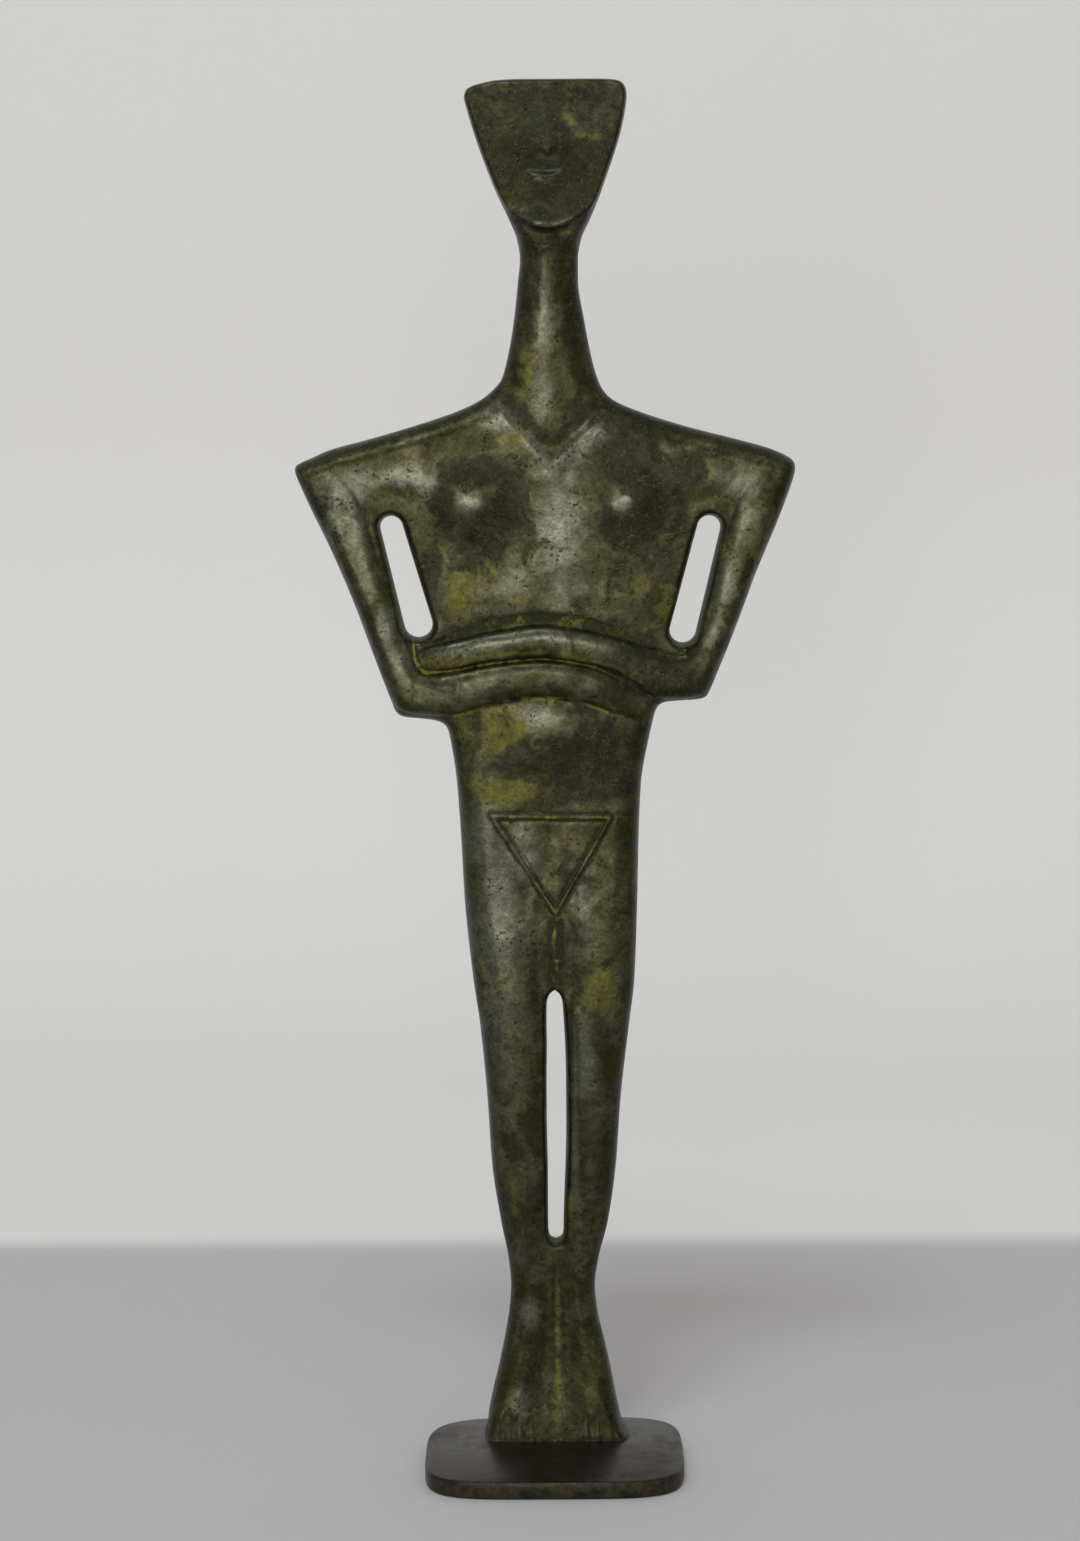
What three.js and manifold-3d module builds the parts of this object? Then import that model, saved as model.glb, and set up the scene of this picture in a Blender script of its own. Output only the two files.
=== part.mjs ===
import * as THREE from 'three';
import Module from 'manifold-3d';

// A folded-arm figure cast in solid bronze, standing on a thin foot plate.
// Millimetres, +Z up, the face and the folded arms look along -Y. The figure's own right is at -X.
// The sizes across are from the line of the nose; at the end all moves sideways by CENTRING, so
// that the origin lies under the middle of the shoulders, on the plate's underside.
const CENTRING = 0.75;

// Foot plate: a rounded rectangle with bowed sides.
const PLATE_WIDTH = 54.4;
const PLATE_DEPTH = 45.5;
const PLATE_THICKNESS = 3.7;
const PLATE_ARRIS = 0.4;
const PLATE_SQUARENESS = 4.6;
const PLATE_SQUARENESS_BACK_RIGHT = 3.7;
const PLATE_POINTS = 52;

// The figure's outline from the front: height, reach of its right edge, reach of its left edge.
const LEGS = [
  [3.7, 14.9, 17.1], [4.5, 14.6, 15.3], [5.8, 14.3, 14.3], [8.5, 14.0, 13.95], [20, 11.45, 11.7],
  [31.5, 9.4, 9.25], [36, 9.08, 8.85], [41.5, 9.5, 9.55], [50.3, 11.1, 11.7], [63.4, 12.95, 13.5],
  [76.5, 13.7, 14.4], [93.9, 15.2, 16.35], [102.5, 16.4, 17.4], [119.7, 18.15, 18.1],
  [136.7, 19.0, 18.55], [145.2, 19.6, 19.0], [153.7, 20.75, 20.5],
];
const RIGHT_ARM = [
  [155.8, 21.2], [156.9, 21.7], [157.7, 22.6], [158.3, 24.6], [158.6, 27.0], [158.9, 30.0],
  [159.4, 31.4], [160.3, 32.25], [162.2, 33.0], [172.7, 36.9], [183.2, 40.7], [193.7, 45.1],
  [204.1, 50.0], [208.3, 51.8], [209.6, 52.3], [210.4, 52.45], [211.2, 52.2], [212, 51.0],
  [212.7, 49.3], [214.4, 45.5],
];
const LEFT_ARM = [
  [157.6, 21.35], [159.7, 21.9], [161, 22.6], [161.7, 23.8], [162.0, 26.0], [162.15, 29.0],
  [162.4, 31.3], [162.9, 32.5], [163.9, 33.15], [168, 34.9], [178.5, 39.1], [189, 43.0],
  [199.4, 47.35], [205.6, 49.7], [208.5, 50.65], [209.8, 50.95], [210.9, 50.9], [211.8, 50.45],
  [213.9, 46.7],
];
const SHOULDERS_AND_HEAD = [
  [216.4, 38.0, 38.2], [218.5, 30.5, 30.0], [220.5, 23.9, 23.3], [222.5, 18.25, 17.6],
  [224.5, 14.1, 13.3], [226.6, 11.4, 11.25], [228.6, 9.7, 10.3], [232.7, 8.45, 9.1],
  [240.9, 6.95, 7.5], [249, 6.05, 6.3], [253.2, 5.62, 6.3], [257.2, 6.2, 6.95],
  [261.3, 7.8, 8.8], [267.4, 10.65, 11.3], [283.8, 16.35, 16.2], [286.4, 16.95, 16.5],
  [287.7, 16.6, 16.4], [288.5, 15.6, 16.1], [289.3, 12.9, 15.4], [289.8, 10.3, 14.0],
  [290, 7.0, 11.0],
];

// The figure from the side: height, front and back.
const SIDE = [
  [3.7, 4.5, 19.0], [5, 5.2, 18.8], [8, 5.8, 18.6], [16, 7.0, 18.0], [28, 7.8, 17.4],
  [36, 7.8, 16.8], [50, 6.6, 17.0], [64, 5.2, 17.0], [80, 3.8, 16.0], [92, 3.0, 15.1],
  [104, 2.7, 15.2], [120, 2.6, 16.2], [134, 2.6, 16.6], [146, 2.5, 15.6], [156, 2.4, 14.2],
  [165, 2.4, 13.4], [180, 2.4, 13.0], [200, 2.5, 13.2], [212, 2.6, 13.0], [222, 2.5, 12.6],
  [235, 2.5, 12.6], [250, 2.9, 12.8], [258, 3.1, 13.2], [265, 3.4, 13.8], [275, 5.2, 15.0],
  [285, 8.4, 16.6], [290, 9.6, 16.8],
];

// How far in from the outline the surface is rounded over, by height.
const ROUNDING = [
  [3.7, 1.2], [9, 2.6], [20, 4.4], [36, 5.0], [60, 6.0], [110, 6.2], [150, 5.6], [162, 3.9],
  [214, 3.5], [224, 4.6], [232, 6.0], [252, 5.6], [262, 3.0], [270, 2.2], [290, 2.2],
];

// Slots, cut right through: the ends' middles and radii.
const RIGHT_ARM_SLOT = {
  top: [-32.6, 198.5], topRadius: 2.35, bottom: [-27.25, 178.5], bottomRadius: 2.95,
};
const LEFT_ARM_SLOT = {
  top: [33.1, 198.15], topRadius: 2.42, bottom: [27.7, 176.85], bottomRadius: 2.75,
};
const LEG_SLOT = {
  middle: 0.65, halfWidth: 1.7, bulge: 0.35, bottom: 46.1, arch: 98.2, point: 101.2,
};
const SLOT_EASE = 3.2;

// Carving on the front.
const MIDDLE = 0.4;
const CHIN_HEIGHT = 259.2;
const CHIN_FRONT = 0.1;
const CHIN_SPREAD = 18.5;
const FACE_LEAN = 0.29;
const FACE_THICKNESS = 4.4;
const FACE_BEVEL = 0.5;
const BREASTS = [[-14.9, 203.3], [15.1, 203.3]];
const BELLY = [0, 156.2];
const LEG_VALLEY = 1.5;
const NECK_LINE = [[-8.4, 222.4], [0.9, 213.8], [8.8, 221.6]];
const TRIANGLE = [[-12.2, 138.5], [12.4, 138.1], [0.9, 118.1], [-12.2, 138.5]];
const LINE_HALF_WIDTH = 0.55;
const LINE_DEPTH = 0.5;

// Raised bars on the front: place across, height, half-width, how far they stand out.
const NOSE = [
  [0.4, 287, 0.7, 0], [0.4, 281, 1.3, 0.7], [0.4, 275.4, 2.1, 1.6], [0.4, 274.3, 1.9, 0.3],
];
const MOUTH = [
  [-4, 271.4, 0.4, 0], [-2.2, 270.4, 1.0, 0.6], [1.6, 270.3, 1.0, 0.6], [3.4, 271.2, 0.4, 0],
];
const RIGHT_UPPER_ARM = [
  [-44.6, 208.6, 2.4, 0], [-42.4, 202, 3.7, 0.9], [-38, 189, 3.9, 1.3], [-31.8, 169, 4.2, 1.8],
  [-29.9, 164.2, 4.0, 1.7], [-28.6, 160.8, 2.4, 0.2],
];
const RIGHT_FOREARM = [
  [-32.4, 164.6, 1.2, 0], [-29.5, 163.7, 3.4, 1.0], [-25.5, 163.4, 4.5, 1.9], [-20, 164.2, 4.5, 2.3],
  [-12, 166.2, 4.3, 2.4], [-2, 167.4, 4.0, 2.4], [8, 165.9, 4.0, 2.2], [14, 163.6, 3.3, 1.5],
  [19, 161.0, 2.2, 0.5], [21, 159.9, 1.2, 0],
];
const LEFT_UPPER_ARM = [
  [43.9, 208, 2.4, 0], [41.8, 201.5, 3.7, 0.9], [37.6, 189, 3.9, 1.3], [31.8, 171, 4.0, 1.8],
  [29.8, 164.8, 2.6, 0.3],
];
const LEFT_FOREARM = [
  [-26.4, 171, 1.0, 0], [-24.6, 171.4, 2.3, 1.4], [-20, 172.2, 2.9, 2.2], [-12, 173.8, 3.3, 2.4],
  [-2, 174.9, 3.6, 2.5], [8, 173.6, 3.6, 2.4], [15, 171.2, 3.8, 2.2], [21, 168.8, 4.3, 2.0],
  [28, 166.9, 4.2, 1.7], [31.6, 166.4, 1.6, 0],
];

// Mesh fineness: rows up the figure as height and spacing, columns as spacing.
const ROW_STEPS = [
  [3.7, 0.75], [6, 2.6], [14, 4.6], [46, 5.3], [104, 4.8], [140, 3.6], [155, 1.1], [163.5, 2.9],
  [207, 1.3], [229, 3.4], [255, 1.9], [264, 3.6], [284, 1.2], [287, 0.6],
];
const FRONT_GAP = 2.9;
const BACK_GAP = 5;

const wasm = await Module();
wasm.setup();

// A smooth curve through stations, never passing beyond a station's value.
function through(stations, column = 1) {
  const at = stations.map((row) => row[0]);
  const value = stations.map((row) => row[column]);
  const last = at.length - 1;
  const steep = [];
  for (let i = 0; i < last; i += 1) {
    steep.push((value[i + 1] - value[i]) / (at[i + 1] - at[i]));
  }
  const slope = [steep[0]];
  for (let i = 1; i < last; i += 1) {
    const before = at[i] - at[i - 1];
    const after = at[i + 1] - at[i];
    const turns = steep[i - 1] * steep[i] <= 0;
    const a = 2 * after + before;
    const b = after + 2 * before;
    slope.push(turns ? 0 : (a + b) / (a / steep[i - 1] + b / steep[i]));
  }
  slope.push(steep[last - 1]);
  return (t) => {
    if (t <= at[0]) return value[0];
    if (t >= at[last]) return value[last];
    let i = 0;
    while (at[i + 1] < t) i += 1;
    const run = at[i + 1] - at[i];
    const s = (t - at[i]) / run;
    const keep = (1 + 2 * s) * (1 - s) * (1 - s);
    const reach = s * s * (3 - 2 * s);
    return value[i] * keep + value[i + 1] * reach
      + run * s * (1 - s) * ((1 - s) * slope[i] - s * slope[i + 1]);
  };
}

const withLeft = (rows) => rows.map(([height, , left]) => [height, left]);
const rightReach = through([...LEGS, ...RIGHT_ARM, ...SHOULDERS_AND_HEAD]);
const leftReach = through([...withLeft(LEGS), ...LEFT_ARM, ...withLeft(SHOULDERS_AND_HEAD)]);
const bodyFront = through(SIDE, 1);
const bodyBack = through(SIDE, 2);
const rounding = through(ROUNDING);

const clamp = (t) => Math.min(1, Math.max(0, t));
const ease = (t) => clamp(t) ** 2 * (3 - 2 * clamp(t));
const mound = (x, z, [cx, cz], rx, rz) => Math.exp(-(((x - cx) / rx) ** 2) - ((z - cz) / rz) ** 2);

function toSegment(x, z, [ax, az], [bx, bz]) {
  const run = Math.hypot(bx - ax, bz - az) || 1;
  const along = clamp(((x - ax) * (bx - ax) + (z - az) * (bz - az)) / run ** 2);
  return Math.hypot(x - ax - along * (bx - ax), z - az - along * (bz - az));
}

function toLine(x, z, points) {
  let nearest = Infinity;
  for (let i = 1; i < points.length; i += 1) {
    nearest = Math.min(nearest, toSegment(x, z, points[i - 1], points[i]));
  }
  return nearest;
}

// The outline as one line: up the right edge, over the crown and down the left edge.
const outline = [];
for (let z = PLATE_THICKNESS; z < 290; z += z > 155 && z < 164 ? 0.15 : 0.5) {
  outline.push([-rightReach(z), z]);
  outline.unshift([leftReach(z), z]);
}

function toOutline(x, z) {
  let nearest = 12;
  for (let i = 1; i < outline.length; i += 1) {
    if (Math.abs(outline[i][1] - z) > nearest + 0.6) continue;
    nearest = Math.min(nearest, toSegment(x, z, outline[i - 1], outline[i]));
  }
  return nearest;
}

// Slots as flat outlines, and how near a place is to the nearest one.
function armSlot({ top, topRadius, bottom, bottomRadius }) {
  const lean = Math.atan2(top[1] - bottom[1], top[0] - bottom[0]);
  const shape = new THREE.Shape();
  shape.absarc(top[0], top[1], topRadius, lean - Math.PI / 2, lean + Math.PI / 2, false);
  shape.absarc(bottom[0], bottom[1], bottomRadius, lean + Math.PI / 2, lean + 1.5 * Math.PI, false);
  return shape;
}

function legSlot({ middle, halfWidth, bulge, bottom, arch, point }) {
  const shape = new THREE.Shape();
  shape.absarc(middle, bottom + halfWidth, halfWidth, Math.PI, 2 * Math.PI, false);
  const widest = middle + halfWidth + 2 * bulge;
  shape.quadraticCurveTo(widest, (bottom + arch) / 2, middle + halfWidth, arch);
  shape.quadraticCurveTo(middle + halfWidth - 0.4, point - 1, middle, point);
  shape.quadraticCurveTo(middle - halfWidth + 0.4, point - 1, middle - halfWidth, arch);
  shape.closePath();
  return shape;
}

const slots = [armSlot(RIGHT_ARM_SLOT), armSlot(LEFT_ARM_SLOT), legSlot(LEG_SLOT)];
const slotLines = slots.map((shape) => {
  const points = shape.getPoints(8).map((p) => [p.x, p.y]);
  return [...points, points[0]];
});

function insideSlot(x, z, line) {
  let inside = false;
  for (let i = 1; i < line.length; i += 1) {
    const [ax, az] = line[i - 1];
    const [bx, bz] = line[i];
    if (az > z !== bz > z && x < ax + ((z - az) / (bz - az)) * (bx - ax)) inside = !inside;
  }
  return inside;
}

// The share of its full thickness that the casting has beside a slot.
function besideSlot(x, z) {
  let share = 1;
  for (const line of slotLines) {
    const gap = insideSlot(x, z, line) ? 0 : toLine(x, z, line);
    const t = 1 - clamp(gap / SLOT_EASE);
    share = Math.min(share, 1 - 0.26 * t * t);
  }
  return share;
}

// How far the soft forms stand out from the plain front, in millimetres.
function frontRelief(x, z) {
  const across = Math.exp(-(((x - MIDDLE) / 3.6) ** 2));
  let rise = 1.2 * across * ease((z - 214) / 7) * ease((262 - z) / 9);
  for (const breast of BREASTS) {
    rise += 1.6 * mound(x, z, breast, 7, 6.5) + 0.5 * mound(x, z, breast, 2.4, 2.4);
  }
  rise += 1.5 * mound(x, z, BELLY, 10, 7.5);
  const parting = Math.exp(-(((x - MIDDLE) / 2.4) ** 2));
  return rise - LEG_VALLEY * parting * ease((119 - z) / 8) * ease((z - 1) / 6);
}

// The back is plainer: shoulder blades, a spine groove, the seat and the parting of the legs.
function backRelief(x, z) {
  const middle = Math.exp(-(((x - MIDDLE) / 3) ** 2));
  let rise = 0.8 * (mound(x, z, [-17, 203], 10, 9) + mound(x, z, [17, 203], 10, 9));
  rise -= 0.9 * middle * ease((z - 156) / 10) * ease((222 - z) / 10);
  rise += 1.5 * (mound(x, z, [-9, 137], 8, 10) + mound(x, z, [9.6, 137], 8, 10));
  rise -= 1.7 * middle * ease((147 - z) / 6) * ease((z - 2) / 6);
  return rise;
}

function surface(x, z, facing) {
  const nominalFront = bodyFront(z);
  const nominalBack = bodyBack(z);
  const middle = (nominalFront + nominalBack) / 2;
  const from = toOutline(x, z);
  const t = 1 - clamp(from / rounding(z));
  const round = (1 - t ** 2.3) ** (1 / 2.3);
  if (facing > 0) {
    return middle + (nominalBack + backRelief(x, z) - middle) * round * besideSlot(x, z);
  }
  return middle - (middle - nominalFront + frontRelief(x, z)) * round * besideSlot(x, z);
}

// Columns across a row: close together at the two edges, even between them, with one on the
// middle line. Each has a rank from 0 to 1, which pairs it with the columns of the next row.
function columns(z, gap, edgeSteps) {
  const left = -rightReach(z);
  const right = leftReach(z);
  const widest = edgeSteps[edgeSteps.length - 1];
  const scale = (reach) => {
    const lean = Math.hypot(1, (reach(z + 0.2) - reach(z - 0.2)) / 0.4);
    return Math.min(lean, 4, ((right - left) * 0.3) / widest);
  };
  const scales = [scale(rightReach), scale(leftReach)];
  const innerLeft = left + widest * scales[0];
  const innerRight = right - widest * scales[1];
  const half = Math.max(2, Math.round((innerRight - innerLeft) / gap / 2));
  const across = [{ x: left, rank: 0 }];
  edgeSteps.forEach((step, i) => across.push({ x: left + step * scales[0], rank: 0.02 * (i + 1) }));
  for (let i = 1; i < 2 * half; i += 1) {
    const share = Math.abs(i / half - 1);
    const side = i < half ? innerLeft : innerRight;
    across.push({ x: MIDDLE + (side - MIDDLE) * share, rank: 0.1 + (0.4 * i) / half });
  }
  edgeSteps.toReversed().forEach((step, i) => {
    across.push({ x: right - step * scales[1], rank: 1 - 0.02 * (edgeSteps.length - i) });
  });
  across.push({ x: right, rank: 1 });
  return across;
}

// The figure's skin: rows of points round the body, joined row to row.
function skin() {
  const positions = [];
  const triangles = [];
  const addPoint = (x, y, z) => positions.push(x, y, z) / 3 - 1;
  const place = (i) => new THREE.Vector3().fromArray(positions, 3 * i);
  const addTriangle = (a, b, c, flip) => triangles.push(...(flip ? [a, c, b] : [a, b, c]));

  const join = (lower, upper, flip) => {
    let i = 0;
    let j = 0;
    while (i < lower.length - 1 || j < upper.length - 1) {
      const nextLower = lower[i + 1];
      const nextUpper = upper[j + 1];
      let ahead = (nextUpper ? nextUpper.rank : 9) - (nextLower ? nextLower.rank : 9);
      const inner = nextLower && nextUpper && lower[i].rank > 0.09 && nextLower.rank < 0.91;
      if (Math.abs(ahead) < 0.004 || inner) {
        const along = place(nextLower.index).distanceTo(place(upper[j].index));
        ahead = place(lower[i].index).distanceTo(place(nextUpper.index)) - along;
      }
      if (ahead >= 0) {
        addTriangle(lower[i].index, nextLower.index, upper[j].index, flip);
        i += 1;
      } else {
        addTriangle(lower[i].index, nextUpper.index, upper[j].index, flip);
        j += 1;
      }
    }
  };

  const heights = [];
  ROW_STEPS.forEach(([from, step], i) => {
    const to = i + 1 < ROW_STEPS.length ? ROW_STEPS[i + 1][0] : 290;
    const count = Math.round((to - from) / step);
    for (let k = 0; k < count; k += 1) heights.push(from + ((to - from) * k) / count);
  });

  const row = (across, z, facing) => across.map(({ x, rank }) => (
    { index: addPoint(x, surface(x, z, facing), z), rank }));

  let previous = null;
  for (const z of heights) {
    const front = row(columns(z, FRONT_GAP, [0.3, 1.0, 2.2]), z, -1);
    const inner = columns(z, BACK_GAP, [0.4, 1.6]).slice(1, -1);
    const back = [front[0], ...row(inner, z, 1), front[front.length - 1]];
    if (previous) {
      join(previous.front, front, false);
      join(previous.back, back, true);
    } else {
      join(front, back, true);
    }
    previous = { front, back };
  }
  const crown = [];
  for (let i = 0; i <= 6; i += 1) {
    const middle = (bodyFront(290) + bodyBack(290)) / 2;
    crown.push({ index: addPoint(-7 + 3 * i, middle, 290), rank: i / 6 });
  }
  join(previous.front, crown, false);
  join(previous.back, crown, true);
  return { positions, triangles };
}

function solid({ positions, triangles }) {
  return new wasm.Manifold(new wasm.Mesh({
    numProp: 3,
    vertProperties: new Float32Array(positions),
    triVerts: new Uint32Array(triangles),
  }));
}

// A flat outline drawn over the front and pushed through the casting.
function throughCut(shape) {
  const sizes = { depth: 60, bevelEnabled: false, curveSegments: 8 };
  const geometry = new THREE.ExtrudeGeometry(shape, sizes);
  geometry.rotateX(Math.PI / 2);
  geometry.translate(0, 40, 0);
  return fromGeometry(geometry);
}

function fromGeometry(geometry) {
  const source = geometry.index ? geometry.toNonIndexed() : geometry;
  const corners = source.getAttribute('position');
  const known = new Map();
  const positions = [];
  const triangles = [];
  for (let i = 0; i < corners.count; i += 1) {
    const point = [corners.getX(i), corners.getY(i), corners.getZ(i)];
    const name = point.map((value) => value.toFixed(5)).join(' ');
    if (!known.has(name)) known.set(name, positions.push(...point) / 3 - 1);
    triangles.push(known.get(name));
  }
  const clean = [];
  for (let i = 0; i < triangles.length; i += 3) {
    const [a, b, c] = triangles.slice(i, i + 3);
    if (a !== b && b !== c && c !== a) clean.push(a, b, c);
  }
  return solid({ positions, triangles: clean });
}

function toGeometry(body) {
  const mesh = body.getMesh();
  const geometry = new THREE.BufferGeometry();
  const stride = mesh.numProp;
  const positions = new Float32Array((mesh.vertProperties.length / stride) * 3);
  for (let i = 0; i < positions.length / 3; i += 1) {
    for (let k = 0; k < 3; k += 1) positions[3 * i + k] = mesh.vertProperties[stride * i + k];
  }
  geometry.setAttribute('position', new THREE.BufferAttribute(positions, 3));
  geometry.setIndex(new THREE.BufferAttribute(new Uint32Array(mesh.triVerts), 1));
  geometry.computeVertexNormals();
  return geometry;
}

// A closed skin over rings of points, each turning the same way about the line they follow.
function overRings(rings) {
  const sides = rings[0].length;
  const triangles = [];
  for (let i = 0; i < rings.length - 1; i += 1) {
    for (let k = 0; k < sides; k += 1) {
      const a = sides * i + k;
      const b = sides * i + ((k + 1) % sides);
      triangles.push(a, b, b + sides, a, b + sides, a + sides);
    }
  }
  const end = sides * (rings.length - 1);
  for (let k = 1; k < sides - 1; k += 1) {
    triangles.push(0, k + 1, k, end, end + k, end + k + 1);
  }
  return solid({ positions: rings.flat(2), triangles });
}

// The direction square to a line on the front, at one of its points.
function squareTo(points, i) {
  const [ax, az] = points[Math.max(0, i - 1)];
  const [bx, bz] = points[Math.min(points.length - 1, i + 1)];
  const run = Math.hypot(bx - ax, bz - az);
  return [-(bz - az) / run, (bx - ax) / run];
}

// A V-shaped groove cut along a line, following the front surface.
function groove(points) {
  return overRings(points.map(([x, z], i) => {
    const [nx, nz] = squareTo(points, i);
    const y = surface(x, z, -1);
    const wide = 2 * LINE_HALF_WIDTH;
    return [
      [x + wide * nx, y - LINE_DEPTH, z + wide * nz],
      [x - wide * nx, y - LINE_DEPTH, z - wide * nz],
      [x, y + LINE_DEPTH, z],
    ];
  }));
}

// A rounded bar standing out from a surface: stations of place, half-width and rise.
function bar(stations, base, facets = 7) {
  return overRings(stations.map(([x, z, halfWidth, rise], i) => {
    const [nx, nz] = squareTo(stations, i);
    const ring = [];
    for (let k = 0; k <= facets; k += 1) {
      const turn = (Math.PI * k) / facets;
      const across = halfWidth * Math.cos(turn);
      ring.push([x + nx * across, base(z) - rise * Math.sin(turn) ** 0.9, z + nz * across]);
    }
    ring.push([x - nx * 0.7 * halfWidth, base(z) + 1.6, z - nz * 0.7 * halfWidth]);
    ring.push([x + nx * 0.7 * halfWidth, base(z) + 1.6, z + nz * 0.7 * halfWidth]);
    return ring;
  }));
}

// Stations with more of them put in on the straight lines from one to the next.
function between(stations, gap) {
  const points = [stations[0]];
  for (let i = 1; i < stations.length; i += 1) {
    const from = stations[i - 1];
    const to = stations[i];
    const count = Math.max(1, Math.round(Math.hypot(to[0] - from[0], to[1] - from[1]) / gap));
    for (let k = 1; k <= count; k += 1) {
      points.push(from.map((value, n) => value + ((to[n] - value) * k) / count));
    }
  }
  return points;
}

// Even stations along a line drawn through sizes given at a few places across.
function smoothly(stations, gap) {
  const curves = stations[0].map((value, n) => through(stations, n));
  const from = stations[0][0];
  const to = stations[stations.length - 1][0];
  const count = Math.round((to - from) / gap);
  const places = stations.slice(1, -1).map(([x]) => x);
  for (let i = 0; i <= count; i += 1) {
    const x = from + ((to - from) * i) / count;
    if (places.every((place) => Math.abs(place - x) > 0.45 * gap)) places.push(x);
  }
  places.sort((p, q) => p - q);
  return places.map((x) => curves.map((curve, n) => (n === 0 ? x : curve(x))));
}

// Face: a flat shield leaning back, its rounded chin standing out over the neck.
function faceShield() {
  const lean = Math.atan(FACE_LEAN);
  const up = (z) => (z - CHIN_HEIGHT) / Math.cos(lean);
  const shape = new THREE.Shape();
  for (let i = -4; i <= 4; i += 1) {
    const x = 0.3 + 1.8 * i;
    const z = CHIN_HEIGHT + (1.8 * i) ** 2 / CHIN_SPREAD;
    if (i === -4) shape.moveTo(x, up(z));
    else shape.lineTo(x, up(z));
  }
  const heights = [263.6, 267, 275, 283, 285.6, 287.2, 288.2, 288.9, 289.3];
  const inset = FACE_BEVEL + 0.3;
  for (const z of heights) shape.lineTo(leftReach(z) - inset, up(z));
  for (const z of heights.toReversed()) shape.lineTo(inset - rightReach(z), up(z));
  shape.closePath();
  const geometry = new THREE.ExtrudeGeometry(shape, {
    depth: FACE_THICKNESS - FACE_BEVEL,
    bevelThickness: FACE_BEVEL,
    bevelSize: FACE_BEVEL,
    bevelSegments: 2,
  });
  geometry.translate(0, 0, -FACE_THICKNESS);
  geometry.rotateX(Math.PI / 2 - lean);
  geometry.translate(0, CHIN_FRONT, CHIN_HEIGHT);
  return fromGeometry(geometry);
}

const faceFront = (z) => CHIN_FRONT + FACE_LEAN * (z - CHIN_HEIGHT);

let figureBody = solid(skin());
const additions = [
  faceShield(),
  bar(between(NOSE, 3), faceFront, 6),
  bar(MOUTH, faceFront, 5),
  bar(between(RIGHT_UPPER_ARM, 7), bodyFront),
  bar(between(LEFT_UPPER_ARM, 7), bodyFront),
  bar(smoothly(RIGHT_FOREARM, 4), bodyFront),
  bar(smoothly(LEFT_FOREARM, 4), bodyFront),
];
for (const addition of additions) figureBody = figureBody.add(addition);
for (const shape of slots) figureBody = figureBody.subtract(throughCut(shape));
for (let i = 1; i < TRIANGLE.length; i += 1) {
  figureBody = figureBody.subtract(groove(between(TRIANGLE.slice(i - 1, i + 1), 3.2)));
}
figureBody = figureBody.subtract(groove(between(NECK_LINE, 3)));

const bronze = new THREE.MeshStandardMaterial({ color: 0x3a3d22, roughness: 0.42, metalness: 0.75 });
const plateBronze = new THREE.MeshStandardMaterial({
  color: 0x38352c, roughness: 0.34, metalness: 0.75,
});

const figure = new THREE.Mesh(toGeometry(figureBody), bronze);
figure.name = 'figure';

// Foot plate, squarer at three corners than at the fourth.
const plateShape = new THREE.Shape();
for (let i = 0; i < PLATE_POINTS; i += 1) {
  const turn = (2 * Math.PI * (i + 0.5)) / PLATE_POINTS;
  const across = Math.cos(turn);
  const back = Math.sin(turn);
  const squareness = across < 0 && back > 0 ? PLATE_SQUARENESS_BACK_RIGHT : PLATE_SQUARENESS;
  const x = (PLATE_WIDTH / 2 - PLATE_ARRIS) * Math.sign(across) * Math.abs(across) ** (2 / squareness);
  const y = (PLATE_DEPTH / 2 - PLATE_ARRIS) * Math.sign(back) * Math.abs(back) ** (2 / squareness);
  if (i === 0) plateShape.moveTo(x, y);
  else plateShape.lineTo(x, y);
}
plateShape.closePath();
const plateGeometry = new THREE.ExtrudeGeometry(plateShape, {
  depth: PLATE_THICKNESS - 2 * PLATE_ARRIS,
  bevelThickness: PLATE_ARRIS,
  bevelSize: PLATE_ARRIS,
  bevelSegments: 1,
});
plateGeometry.translate(0, 0, PLATE_ARRIS);
const plate = new THREE.Mesh(plateGeometry, plateBronze);
plate.name = 'foot_plate';

figure.geometry.translate(CENTRING, 0, 0);
plate.geometry.translate(CENTRING, 0, 0);

const idol = new THREE.Group();
idol.add(figure, plate);

export default idol;
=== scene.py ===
from math import cos, pi, radians, sin

import bpy
import numpy as np
import openvdb
from mathutils import Matrix, Vector


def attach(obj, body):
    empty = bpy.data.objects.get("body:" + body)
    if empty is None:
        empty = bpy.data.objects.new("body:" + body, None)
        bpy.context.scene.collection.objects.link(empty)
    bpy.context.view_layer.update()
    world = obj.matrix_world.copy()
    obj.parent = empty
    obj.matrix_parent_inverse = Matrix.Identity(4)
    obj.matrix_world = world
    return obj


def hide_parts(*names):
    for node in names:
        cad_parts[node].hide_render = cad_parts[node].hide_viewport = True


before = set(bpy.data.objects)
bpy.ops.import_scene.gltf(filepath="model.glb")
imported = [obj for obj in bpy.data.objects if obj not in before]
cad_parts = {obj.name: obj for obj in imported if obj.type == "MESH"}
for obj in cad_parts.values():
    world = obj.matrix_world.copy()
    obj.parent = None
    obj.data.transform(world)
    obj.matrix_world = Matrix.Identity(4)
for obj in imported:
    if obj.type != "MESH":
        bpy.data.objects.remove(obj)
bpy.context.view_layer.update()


# Foot plate.
# A thin bronze plate sawn to a rounded rectangle with bowed sides, its arris eased by hand, one
# back corner rounder than the others. The feet are brazed to the rear half of its top.
CENTRING = 0.75
PLATE_WIDTH = 54.4
PLATE_DEPTH = 45.5
PLATE_THICKNESS = 3.7
PLATE_ARRIS = 0.75
PLATE_SIDES = 240
PLATE_SQUARENESS = 4.6
PLATE_SQUARENESS_BACK_RIGHT = 3.7


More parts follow.
